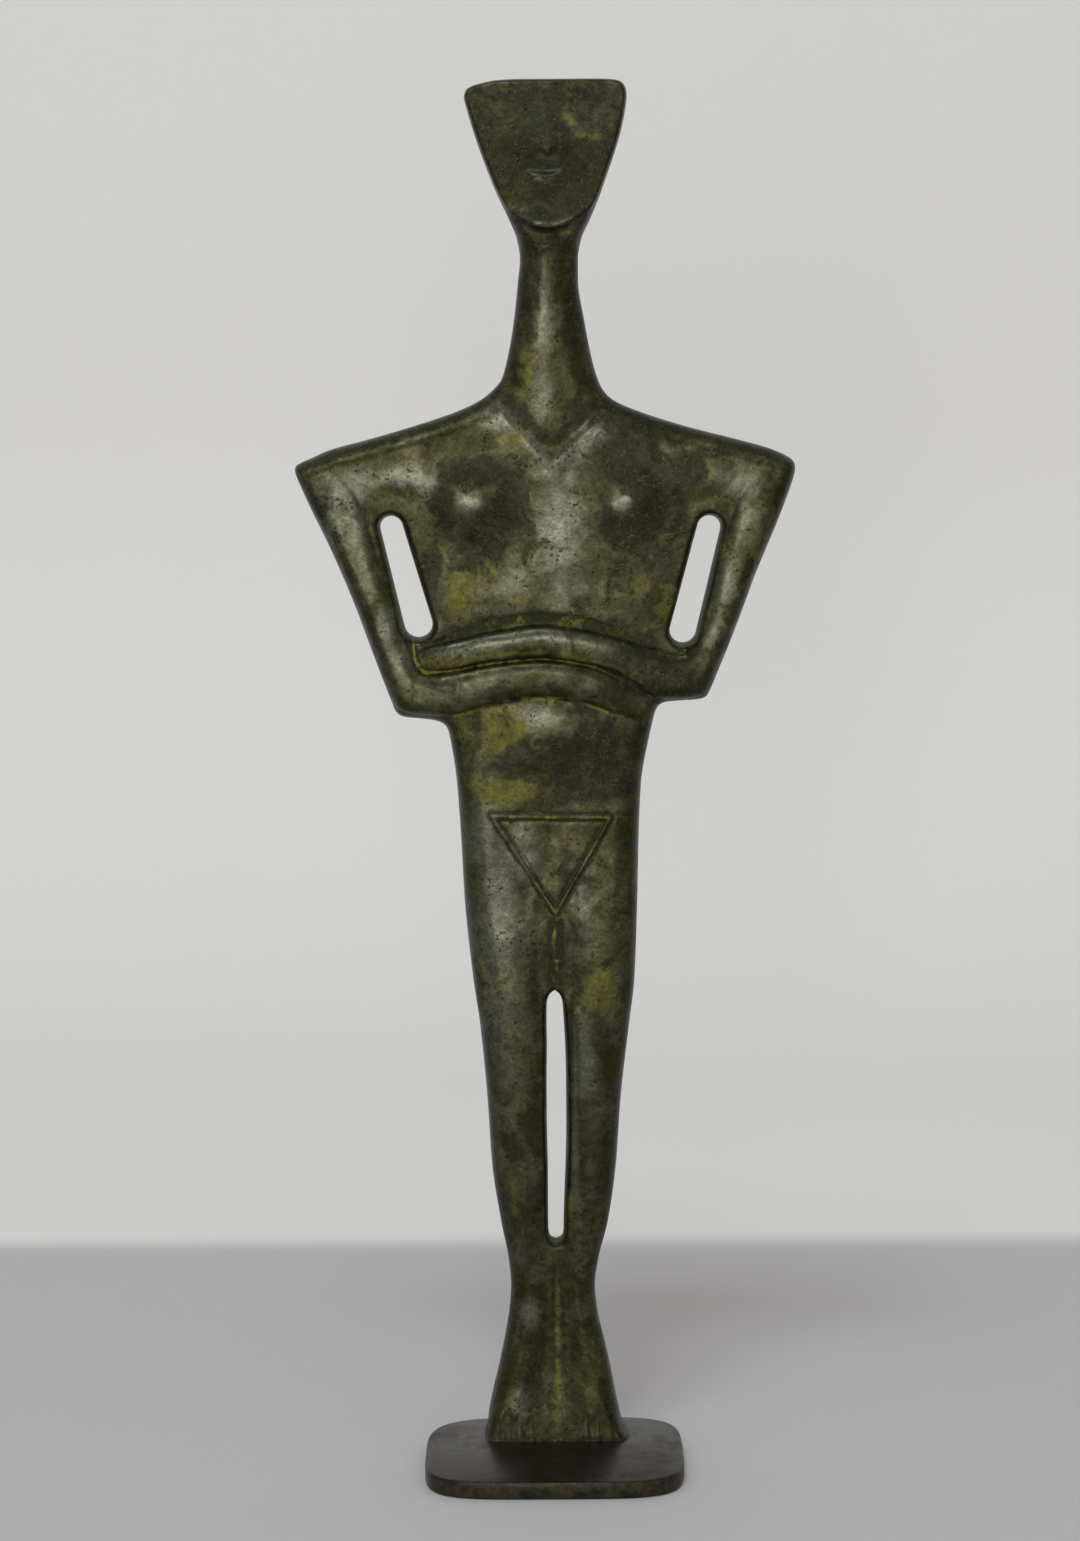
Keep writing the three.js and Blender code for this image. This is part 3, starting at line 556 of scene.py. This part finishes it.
left_arm = bar(smooth_line([
    (-27.4, 171.2, 1.4, 0.1), (-25, 171.6, 2.4, 1.3), (-20, 172.3, 3.0, 2.1),
    (-12, 173.8, 3.4, 2.4), (-2, 174.9, 3.65, 2.5), (8, 173.6, 3.7, 2.4), (15, 171.2, 4.1, 2.2),
    (21, 168.8, 4.8, 1.9), (26.5, 167.4, 4.9, 1.75), (30.2, 168, 4.7, 1.7),
    (32.6, 172, 4.3, 1.7), (38.4, 189, 4.2, 1.5), (42.3, 201.5, 3.9, 1.0),
    (45, 208.4, 2.4, 0.1)]))
rise = greater(rise, greater(right_arm, left_arm, 0.3) - 0.05, 0.5 + 1.7 * ease((Z - 177) / 8))
crease_arms = soft(smooth_line([
    (-28.4, 175.4), (-27.6, 171.3), (-25.6, 168.7), (-20.8, 168.9), (-12.3, 170.6), (-1.8, 171.3),
    (7.7, 170.1), (14.3, 168.0), (19, 165.2)]), 0.45)
rise -= 0.35 * crease_arms
# Painted shade in the valley above the upper forearm.
over_bar = soft(smooth_line([
    (-25.5, 174.6), (-20, 175.9), (-12, 177.8), (-2, 179.1), (8, 177.9), (15, 175.9), (21, 174)]), 1.9)
# Painted highlights along the tops of the forearm bars.
bar_lights = np.maximum(
    soft([(-23, 173.5), (-12, 175.3), (-2, 176.4), (6, 175.4), (11, 174)], 1.0),
    0.7 * soft([(-15, 167.6), (-8, 168.8), (-2, 169.3), (5, 168.4), (9, 167.2)], 0.9))
under_bar = soft(smooth_line([
    (-26, 170.2), (-20.8, 170.6), (-12.3, 172.2), (-1.8, 172.9), (7.7, 171.8), (14.3, 169.8),
    (20, 166.4)]), 1.1)
# A light line along the belly's top edge, partly painted highlight.
crease_belly = soft(smooth_line([
    (-20, 159.6), (-12.4, 161.8), (-4.3, 163.3), (2.9, 163.3), (7.7, 161.9), (13, 159.6)]), 0.6)

# Face: flat, with a round chin that stands out over the neck, a long nose and a small mouth.
CHIN_HEIGHT = 259.2
CHIN_FRONT = 0.1
CHIN_SPREAD = 18.5
CHIN_EDGE = 0.9
FACE_LEAN = 0.29
chin_slope = 2 * (X - 0.3) / CHIN_SPREAD
above_chin = (Z - CHIN_HEIGHT - (X - 0.3) ** 2 / CHIN_SPREAD) / np.hypot(1, chin_slope)
within = np.clip(CHIN_EDGE - above_chin, 0, CHIN_EDGE)
chin_edge = CHIN_EDGE - np.sqrt(CHIN_EDGE ** 2 - within ** 2) + 1.6 * np.clip(-above_chin, 0, None)
face = front_plane - CHIN_FRONT - FACE_LEAN * (Z - CHIN_HEIGHT) - chin_edge
face += 0.22 * np.exp(-((above_chin - 0.6) / 0.4) ** 2) * ease((7 - abs(X - 0.3)) / 3)
nose_height = np.interp(Z, (273.3, 274.8, 276.5, 281, 288), (0, 0.55, 0.7, 0.5, 0))
face += nose_height * np.exp(-((X - 0.4) / 2.7) ** 2) + 0.5 * mound(0.2, 275, 0.9, 0.8)
below_lips = 271.1 + 0.05 * (X + 0.4) ** 2 - Z
mouth_fade = ease((4.3 - abs(X + 0.5)) / 2.4)
face += 0.8 * mouth_fade * ease(below_lips / 1.5) * np.exp(-np.clip(below_lips - 1.1, 0, None) / 1.4)
face -= 0.25 * mouth_fade * ease(0.5 - below_lips / 0.8) * np.exp(-np.clip(-below_lips, 0, None) / 1.3)
# Painted shade in the mouth's line.
mouth = mouth_fade * np.exp(-((below_lips - 0.2) / 0.5) ** 2)
rise = np.where(Z > 254, greater(rise, face, 0.8), rise)
leaves = np.maximum(soft([(3.8, 282.6), (5.6, 280.6)], 1.3), soft([(6.4, 278.7), (10, 277.9)], 1.1))

# The back is plainer: shoulder blades, a spine groove, the seat and the parting of the legs.
back_rise = 0.9 * (mound(-17, 203, 10, 9) + mound(17, 203, 10, 9))
spine = np.exp(-((X - 0.4) / 2.4) ** 2)
back_rise -= 1.0 * spine * ease((Z - 156) / 10) * ease((222 - Z) / 10)
back_rise += 1.7 * (mound(-9, 137, 8.5, 11) + mound(9.6, 137, 8.5, 11))
back_rise -= 1.9 * spine * ease((147 - Z) / 6) * ease((Z - 2) / 6)
back_rise += 0.8 * (mound(-8, 62, 5, 20) + mound(8.4, 62, 5, 20))
back_rise += 0.7 * bar([(-45, 208, 3, 0.4), (-38.6, 189, 4.2, 1), (-31, 166, 4.2, 1)])
back_rise += 0.7 * bar([(45, 207.5, 3, 0.4), (38.4, 189, 4.2, 1), (31, 168, 4.2, 1)])

# The hand-worked surface is never quite even.
uneven = np.random.default_rng(7)


def ripple(length, height):
    total = np.zeros(X.shape)
    for _ in range(14):
        turn, start = uneven.uniform(0, 2 * pi, 2)
        pitch = 2 * pi / (length * uneven.uniform(0.7, 1.6))
        total += np.sin(pitch * (X * cos(turn) + Z * sin(turn)) + start)
    return height * total / 14 ** 0.5


rise += ripple(11, 0.07) + ripple(4.5, 0.03) + ripple(1.9, 0.009)
back_rise += ripple(13, 0.08) + ripple(5, 0.03) + ripple(2.1, 0.009)

# The casting as a field that is 1 along its middle and 0 at its skin.
front_depth = middle - front_plane + rise
back_depth = back_plane + back_rise - middle
front_round, back_round = through(ROUNDING, 1)(Z), through(ROUNDING, 2)(Z)
depth = np.arange(-2.4, 21.6, GRAIN)
field = np.empty((len(across), len(depth), len(up)), np.float32)
POWER = 2.3
rim = beside_slot ** POWER
for k, y in enumerate(depth):
    ahead = y < middle
    thick = np.abs(y - middle) / np.where(ahead, front_depth, back_depth)
    edge = np.clip(1 - from_edge / np.where(ahead, front_round, back_round), 0, 4)
    field[:, k, :] = 1 - (thick ** POWER + edge ** POWER + rim) ** (1 / POWER)
field = np.minimum(field, (up[None, None, :] - FOOT_BOTTOM) / 4)
grid = openvdb.FloatGrid(background=-1.0)
grid.copyFromArray(field)
points, quads = grid.convertToQuads(isovalue=0.0)
points = points * GRAIN + (across[0] + CENTRING, depth[0], up[0])

nothing_selected()
mesh = bpy.data.meshes.new("figure_bronze")
mesh.vertices.add(len(points))
mesh.vertices.foreach_set("co", (points / 1000).astype(np.float32).ravel())
mesh.loops.add(4 * len(quads))
mesh.loops.foreach_set("vertex_index", quads.astype(np.int32).ravel())
mesh.polygons.add(len(quads))
mesh.polygons.foreach_set("loop_start", np.arange(0, 4 * len(quads), 4, dtype=np.int32))
mesh.update(calc_edges=True)
figure = bpy.data.objects.new("figure_bronze", mesh)
bpy.context.collection.objects.link(figure)
figure.select_set(True)
bpy.context.view_layer.objects.active = figure
if 2 * len(quads) > MOST_TRIANGLES:
    thinner = figure.modifiers.new("thinner", "DECIMATE")
    thinner.ratio = MOST_TRIANGLES / (2 * len(quads))
    bpy.ops.object.modifier_apply(modifier=thinner.name)
bpy.ops.object.mode_set(mode="EDIT")
bpy.ops.mesh.select_all(action="SELECT")
bpy.ops.mesh.normals_make_consistent(inside=False)
bpy.ops.object.mode_set(mode="OBJECT")
bpy.ops.object.shade_smooth()

# Patina: wax over brown and green oxides. Where it gathers is kept on the mesh as five shares.
# Each patch is (place across, height, half-width, half-height, strength).
# Three shares also carry painted light: highlights among the rubbed patina, shade among the dark patina, and a few
# highlight lines among the residue.
OLIVE_PATCHES = [
    (7, 279.5, 4, 2.4, 0.3), (0.5, 280, 1.6, 7, 0.3), (-8.5, 263.5, 3, 4, 0.6), (-7, 279, 5, 3, 0.3),
    (-4.5, 230, 2.6, 6, 0.7), (-15, 215.5, 4, 2.5, 0.5), (-6.5, 217.5, 2.6, 3, 0.6),
    (-18, 185.5, 3.2, 6.5, 0.85), (-12.5, 190, 4, 4, 0.75), (-6, 184, 4, 2.4, 0.45),
    (19.5, 186.5, 3.5, 3.5, 0.55), (8.7, 204.5, 1.5, 4, 0.6), (42.5, 192, 1.8, 9, 0.6),
    (37, 178, 1.8, 6, 0.5), (31, 206, 3, 2, 0.4), (-31, 204.5, 2, 2, 0.5), (-40, 213.5, 12, 3, 0.4),
    (-50, 209.5, 3, 3, 0.4), (-10, 156.5, 5.2, 4.4, 1.1), (-18, 154, 2.2, 6, 0.6),
    (-9, 143.5, 7, 3, 1.1), (-15.5, 145, 2.6, 4, 0.6), (-9.5, 136, 3, 2.5, 0.5),
    (-10, 106, 4, 7, 0.4), (10.5, 102, 4.2, 7, 0.85), (7, 97, 2.6, 5, 0.6),
    (12, 131, 3, 7, 0.3), (15.5, 151, 2, 5, 0.5), (-14.5, 104, 1.6, 9, 0.5),
    (-8.2, 55, 1.8, 7, 0.75), (-15, 62, 1.2, 14, 0.5), (3.7, 65, 0.8, 20, 0.5),
    (0.8, 20, 1.1, 26, 0.8), (8, 14, 2.2, 7.5, 0.8), (-33, 176, 2, 8, 0.3),
]
MOSS_PATCHES = [
    (0.8, 22, 2.4, 26, 0.9), (1, 7, 3, 6, 0.8), (8, 16, 3, 10, 0.6), (5.2, 12, 2.6, 6, 0.8), (10.5, 30, 2, 9, 0.5),
    (-12.5, 9, 2, 6, 0.6), (0, 4.2, 16, 2.2, 0.7), (-8.2, 53, 2.6, 10, 0.5), (10, 101, 6, 8, 0.4),
    (-18.5, 150, 3, 12, 0.5), (24, 182, 4, 9, 0.4), (-8, 229, 2, 10, 0.5), (7, 229, 2, 9, 0.5),
    (-34, 168, 3, 8, 0.4),
]
# Dark patina, with painted shade among it: the face darkened all over where it leans back, under the chin, down
# the neck's sides and beside the neck's foot.
UMBER_PATCHES = [
    (-13, 201, 9, 6, 0.7), (20, 204, 9, 9, 0.85), (20, 190, 6, 4, 0.5),
    (-21.5, 202, 3.5, 7, 0.9), (-14, 195.5, 7, 4, 1.0), (-7, 203, 3.8, 7.5, 1.15),
    (-16, 208.6, 7, 2.4, 0.9), (16, 208.6, 7, 2.4, 0.9),
    (-16, 211, 8, 3.4, 1.0), (-5, 207, 2.5, 4, 0.6), (-24.5, 191, 2.6, 10, 0.9),
    (-17, 191.5, 6, 2.4, 0.6), (-24, 215.5, 7, 2.6, 0.6),
    (12.5, 201, 2.8, 8, 0.95), (18, 195.5, 6, 4, 0.95), (22, 204, 3, 5, 0.6), (16, 211, 9.5, 4.8, 1.2),
    (27, 210.5, 7, 4, 0.85), (17, 216.5, 8, 3, 0.9), (31, 213.5, 8, 1.6, 0.6),
    (27, 199, 2.8, 7, 0.9), (25, 190, 3.2, 12, 0.95), (14, 190.5, 5, 5, 0.8), (8, 207, 2.4, 3, 0.5), (0, 285, 18, 5, 0.7), (12.5, 280, 5, 8, 0.7),
    (-14, 284, 4, 5, 0.6), (6, 266, 8, 6, 0.7), (-10, 275, 5, 6, 0.5), (0, 256.5, 5.5, 3.4, 1.0),
    (0, 276, 17, 15, 0.85), (0, 262.5, 5, 1.6, 0.7), (14, 274, 4, 12, 0.9), (-13, 280, 5, 8, 0.8),
    (33, 204.5, 3, 2.5, 0.5), (31, 170, 4, 4, 0.5), (-15, 157, 2.4, 3.5, 0.55), (-8, 149.2, 6, 1.8, 0.85), (2, 152, 4, 5, 0.6), (17, 156, 3, 5, 0.7),
    (10, 144, 5, 4, 0.8), (1, 142, 5, 2.6, 0.8), (15, 133, 3, 8, 0.5), (-20, 217, 5, 2.6, 0.7),
    (8, 222, 3, 3, 0.7), (4.4, 229.5, 2, 5, 0.9), (24, 219, 10, 2, 0.8), (-24, 218.5, 9, 2, 0.6),
    (-5, 13, 3.6, 8, 1.0), (3.4, 15, 1.4, 8, 0.8), (-13, 14, 2.4, 6, 0.7), (8.5, 27, 2.6, 5, 0.6),
    (-8, 68, 3, 5, 0.5), (8, 106, 3, 3, 0.4), (11, 152, 7, 8, 0.95), (3, 147, 4.5, 6, 0.8), (7, 161, 6, 2, 0.6),
    (18, 140, 3, 12, 0.6), (26, 168, 9, 5.5, 0.95), (15, 171, 6, 4, 0.8), (15, 165, 7, 3, 0.8), (-23, 164.5, 4, 3, 0.4), (-30, 161.5, 7, 2, 0.5),
    (5.2, 240, 2.4, 18, 0.75), (-4.6, 246, 1.8, 9, 0.6), (5, 225, 2.6, 6, 0.85),
    (-3.4, 102, 2, 9, 0.7), (13.5, 84, 3, 14, 0.45), (3.2, 108, 1.6, 8, 0.5),
    (-3.4, 78, 1.6, 18, 0.5), (9, 55, 4, 12, 0.35), (-4.5, 50, 2.6, 10, 0.45),
    (-9, 41, 4, 4, 0.5), (-4.6, 18, 2.6, 12, 0.9), (4.6, 22, 1.6, 14, 0.6), (10.5, 9, 3.5, 7, 0.8),
    (-13, 20, 1.6, 8, 0.6), (0, 8, 16, 11, 0.5), (-8, 5.5, 8, 2.6, 0.6), (-17.5, 112, 1.6, 12, 0.5),
    (17, 118, 1.6, 16, 0.5), (3, 128, 4, 5, 0.35), (-50, 207, 3, 4, 0.3), (41, 197, 3, 8, 0.3),
]
# Lighter patina where rubbed, and mostly painted highlights: the chest's middle, the nipples, shoulders, arms and
# elbows, the neck's streak, the belly, the thighs and legs, the lower lip, the nose's tip and the chin's edge.
WORN_PATCHES = [
    (2.6, 199, 6.5, 13, 0.78), (-8, 187, 9, 5, 0.45), (3, 187, 6, 6, 0.6), (-9.5, 220.5, 4.5, 2.6, 0.9),
    (9, 217.5, 4, 3, 0.8), (-40, 207, 8, 4.4, 0.8), (-30, 208, 7, 3.6, 1.0),
    (38.5, 207, 5, 4, 0.8), (-16.3, 203.4, 2.8, 2.2, 0.9), (15.2, 203.6, 2.8, 2.2, 0.95),
    (-2.5, 159.5, 5, 2.6, 0.75), (-1, 242, 2, 11, 0.6), (-0.8, 226, 3, 6, 0.75),
    (-12, 116, 6.6, 23, 0.86), (-14.5, 134, 4.4, 11, 0.85), (-5.5, 131, 4, 8, 0.8), (-14, 97, 3, 8, 0.6),
    (6.5, 118, 2.6, 12, 0.5), (-11, 80, 4, 16, 0.5), (7, 93, 3.4, 6, 0.7),
    (8.5, 76, 4, 14, 0.5), (4.8, 66, 1.3, 14, 0.8), (-8, 56, 3, 5, 0.5),
    (-11, 66, 2.5, 8, 0.5), (-5, 31, 2.6, 4.2, 0.95), (-7, 12, 2.2, 5, 0.75), (5, 32, 1.8, 4, 0.4),
    (-0.4, 269.9, 3.4, 1.3, 1.1), (0.2, 275, 0.7, 0.6, 0.9), (-2, 260.2, 5, 0.7, 0.9),
    (-0.5, 210, 3, 3, 0.6), (4, 154, 4, 4, 0.4), (-44.5, 200, 3, 8, 0.7), (-40, 202, 3, 4, 0.6), (-33.5, 179, 2.6, 6, 0.8),
    (-28, 205.5, 5, 2.4, 0.7), (24, 163, 5, 1.6, 0.4), (-6, 151.5, 4, 3, 0.5), (-17.5, 151, 2, 5, 0.5), (-37.6, 188, 3, 12, 0.35),
    (-50, 208, 3, 2.5, 0.6), (-47, 204, 2.5, 4, 0.5), (-39.5, 199, 2.2, 7, 0.75),
    (-31, 206.5, 5, 1.6, 0.8), (4.5, 208.5, 2.6, 3, 0.7), (38, 209, 5, 2, 0.6), (42, 206, 3, 3, 0.5),
    (36, 190, 2, 12, 0.6), (33, 176, 2.4, 4, 0.6), (4, 184, 5, 3, 0.4), (-12, 181.5, 8, 1.2, 0.5),
    (-8, 151, 3, 3, 0.5), (5, 155, 4, 2.6, 0.5), (7, 124.5, 3, 3, 0.5), (-11, 92, 3, 10, 0.6),
    (12, 95, 2.6, 5, 0.5), (7, 86, 3, 6, 1.0), (-4, 60, 1.6, 6, 0.5), (8, 64, 3, 8, 0.5),
    (-7, 43, 2.4, 3, 0.6), (5, 47, 1.6, 3, 0.5), (-6.5, 262.5, 3, 1.2, 0.7), (8, 232, 1.4, 4, 0.5),
    (-31, 171, 3, 6, 0.6), (36.5, 186, 3.4, 13, 0.65), (40, 200, 3, 5, 0.5), (-24, 163, 8, 2.4, 0.3),
]


def patches(rows):
    total = np.zeros(X.shape)
    for x, z, rx, rz, strength in rows:
        total = np.maximum(total, strength * mound(x, z, rx, rz))
    return total


# Painted highlight, stronger towards the crests of the bars.
bars_top = np.clip(greater(right_arm, left_arm, 0.3) / 2.2, 0, 1) ** 2
to_right = ease((16 - X) / 36)
# Yellow residue in the creases, along the raised lines and in the strip between the feet; the line at the V's edge
# is painted highlight, and the light line along the belly's top edge partly so.
creases = np.maximum.reduce([
    (0.5 + 0.25 * to_right) * crease_arms * ease((18 - X) / 8), 0.5 * triangle_ridge, 0.62 * beads,
    0.35 * strip, 0.5 * crease_belly,
    0.3 * np.exp(-((valley_edge - Z - 1.0) / 1.4) ** 2) * valley, 0.35 * v_edge,
    0.9 * np.maximum(mound(-7.2, 267.3, 0.35, 0.35), mound(-6.6, 266.4, 0.3, 0.3))])
on_front = {
    "residue": creases,
    "hollow": np.maximum.reduce([valley * (right_arm + left_arm < 0.8), 0.6 * armpits,
                                 patches(MOSS_PATCHES), 0.8 * ease(beside_slot)])
    * (1 - 0.8 * beside_strip) * (1 - 0.9 * strip) * ease((Z - 4) / 3),
    "olive": np.maximum.reduce([patches(OLIVE_PATCHES), 0.8 * under_bar, 0.55 * leaves]),
    # Dark patina and painted shade: in the neck's V, in the valley above the forearms, in the cut lines of the
    # toes, triangle and mouth, beside the beads and along the rounded outline; the feet darker towards the plate.
    "umber": np.maximum.reduce([patches(UMBER_PATCHES), 0.8 * toes, 0.85 * neck_shade, mouth,
                                1.4 * beside_beads * (1 - beads), 1.1 * triangle,
                                0.8 * beside_strip, 1.1 * ease((6.6 - Z) / 2.4),
                                0.9 * over_bar, 0.55 * np.exp(-(from_edge / 2.4) ** 2)]),
    # Painted highlights on the crests of the bars and in streaks along them, on the chest's edge beside the V and
    # on the beads, besides the patches above.
    "worn": np.maximum.reduce([patches(WORN_PATCHES), 0.3 * bars_top, 0.9 * bar_lights,
                                0.9 * right_ledge, 0.6 * left_ledge,
                                0.5 * beads * ease((Z - 98) / 3)]),
}
on_front["umber"] *= 1 - 0.9 * (mound(-16.3, 203.4, 2.8, 2.3) + mound(15.2, 203.6, 2.8, 2.3))
on_front["umber"] *= 1 - 0.65 * leaves
on_back = {
    "residue": 0.35 * spine ** 4 * ease((147 - Z) / 6),
    "hollow": 0.7 * spine * ease((222 - Z) / 10),
    "olive": patches([(-x, 293 - z, 1.3 * rx, rz, 0.8 * s) for x, z, rx, rz, s in OLIVE_PATCHES]),
    "umber": patches([(-x, 293 - z, rx, rz, 0.8 * s) for x, z, rx, rz, s in UMBER_PATCHES]),
    "worn": 0.5 * np.maximum(mound(-17, 203, 8, 7), mound(17, 203, 8, 7)),
}

place = np.empty(3 * len(figure.data.vertices))
figure.data.vertices.foreach_get("co", place)
place = place.reshape(-1, 3) * 1000 - (CENTRING, 0, 0)
column = np.clip((place[:, 0] - across[0]) / GRAIN, 0, len(across) - 2)
row = np.clip((place[:, 2] - up[0]) / GRAIN, 0, len(up) - 2)
i, j = column.astype(int), row.astype(int)
u, v = column - i, row - j


def at_mesh(values):
    low = values[i, j] * (1 - u) + values[i + 1, j] * u
    high = values[i, j + 1] * (1 - u) + values[i + 1, j + 1] * u
    return low * (1 - v) + high * v


to_back = ease((place[:, 1] - at_mesh(middle) + 1.5) / 3)
for name in on_front:
    share = at_mesh(on_front[name]) * (1 - to_back) + at_mesh(on_back[name]) * to_back
    layer = figure.data.attributes.new(name, "FLOAT", "POINT")
    layer.data.foreach_set("value", share.astype(np.float32))

figure.data.materials.append(bronze("figure_patina", list(on_front)))
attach(figure, "root")
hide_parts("figure")


# Studio: a pale floor that sweeps up into a pale wall, with a soft light behind the camera and a
# cooler one overhead.
FLOOR_BACK = 0.6
COVE = 0.2
TABLE_BACK = (0.176, 0.198)
nothing_selected()
bpy.ops.mesh.primitive_plane_add(size=1, location=(0, 0, 0))
floor = bpy.context.object
floor.name = "studio_floor"
floor.scale = (6, 3, 1)
floor.location = (0, FLOOR_BACK - 1.5, 0)
bpy.ops.object.transform_apply(location=True, rotation=True, scale=True)


def back_edges(height):
    bpy.ops.object.mode_set(mode="EDIT")
    bpy.ops.mesh.select_mode(type="EDGE")
    bpy.ops.mesh.select_all(action="DESELECT")
    bpy.ops.object.mode_set(mode="OBJECT")
    for edge in floor.data.edges:
        ends = [floor.data.vertices[i].co for i in edge.vertices]
        edge.select = all(end.y > FLOOR_BACK - 0.001 and abs(end.z - height) < 0.001 for end in ends)
    bpy.ops.object.mode_set(mode="EDIT")


back_edges(0)
bpy.ops.mesh.extrude_region_move(TRANSFORM_OT_translate={"value": (0, 0, 2.5)})
back_edges(0)
bpy.ops.mesh.bevel(offset=COVE, segments=16, affect="EDGES")
bpy.ops.mesh.select_all(action="SELECT")
bpy.ops.mesh.normals_make_consistent(inside=True)
bpy.ops.object.mode_set(mode="OBJECT")
bpy.ops.object.shade_smooth()
paper = bpy.data.materials.new("studio_paper")
paper.use_nodes = True
paper_tree = paper.node_tree
paper_shader = paper_tree.nodes["Principled BSDF"]
paper_shader.inputs["Roughness"].default_value = 0.75
paper_place = paper_tree.nodes.new("ShaderNodeTexCoord")
paper_axes = paper_tree.nodes.new("ShaderNodeSeparateXYZ")
paper_tree.links.new(paper_place.outputs["Object"], paper_axes.inputs[0])
towards_wall = between(paper_tree, paper_axes.outputs["Y"], *TABLE_BACK)
paper_tree.links.new(
    mix(paper_tree, towards_wall, (0.53, 0.505, 0.49, 1), (0.82, 0.79, 0.74, 1)),
    paper_shader.inputs["Base Color"])
# Seen from its back the paper is clear, so that the figure can be looked at from behind too.
paper_side = paper_tree.nodes.new("ShaderNodeNewGeometry")
paper_back = paper_tree.nodes.new("ShaderNodeBsdfTransparent")
paper_sides = paper_tree.nodes.new("ShaderNodeMixShader")
paper_tree.links.new(paper_side.outputs["Backfacing"], paper_sides.inputs[0])
paper_tree.links.new(paper_shader.outputs[0], paper_sides.inputs[1])
paper_tree.links.new(paper_back.outputs[0], paper_sides.inputs[2])
paper_tree.links.new(
    paper_sides.outputs[0], paper_tree.nodes["Material Output"].inputs["Surface"])
floor.data.materials.append(paper)

world = bpy.data.worlds.new("studio_air")
bpy.context.scene.world = world
world.use_nodes = True
world.node_tree.nodes["Background"].inputs["Color"].default_value = (0.93, 0.95, 1.0, 1)
world.node_tree.nodes["Background"].inputs["Strength"].default_value = 0.5


def soft_light(name, place, width, height, power, colour, aim=(0, 0, 0.17)):
    light = bpy.data.lights.new(name, "AREA")
    light.shape = "RECTANGLE"
    light.size, light.size_y = width, height
    light.energy = power
    light.color = colour
    lamp = bpy.data.objects.new(name, light)
    bpy.context.collection.objects.link(lamp)
    lamp.location = place
    lamp.visible_camera = False
    lamp.rotation_euler = (Vector(aim) - Vector(place)).to_track_quat("-Z", "Y").to_euler()


soft_light("front", (-0.13, -1.7, 0.3), 0.5, 0.5, 6.5, (1, 0.99, 0.97))
soft_light("overhead", (-0.2, -0.8, 1.45), 0.55, 0.3, 9, (0.84, 0.92, 1))

# Camera at the photograph's viewing angle.
camera = bpy.data.cameras.new("camera")
camera.lens = 85
camera.sensor_fit = "VERTICAL"
camera.sensor_height = 36
camera_object = bpy.data.objects.new("camera", camera)
bpy.context.collection.objects.link(camera_object)
pitch, yaw, roll = radians(7.166), radians(-0.165), radians(0.367)
forward = Vector((sin(yaw) * cos(pitch), cos(yaw) * cos(pitch), -sin(pitch)))
level = Vector((cos(yaw), -sin(yaw), 0))
upward = level.cross(forward)
right = level * cos(roll) - upward * sin(roll)
above = level * sin(roll) + upward * cos(roll)
turned = Matrix((right, above, -forward)).transposed().to_4x4()
turned.translation = Vector((CENTRING, -746.6, 242.3)) / 1000
camera_object.matrix_world = turned
bpy.context.scene.camera = camera_object
bpy.context.scene.view_settings.view_transform = "Standard"
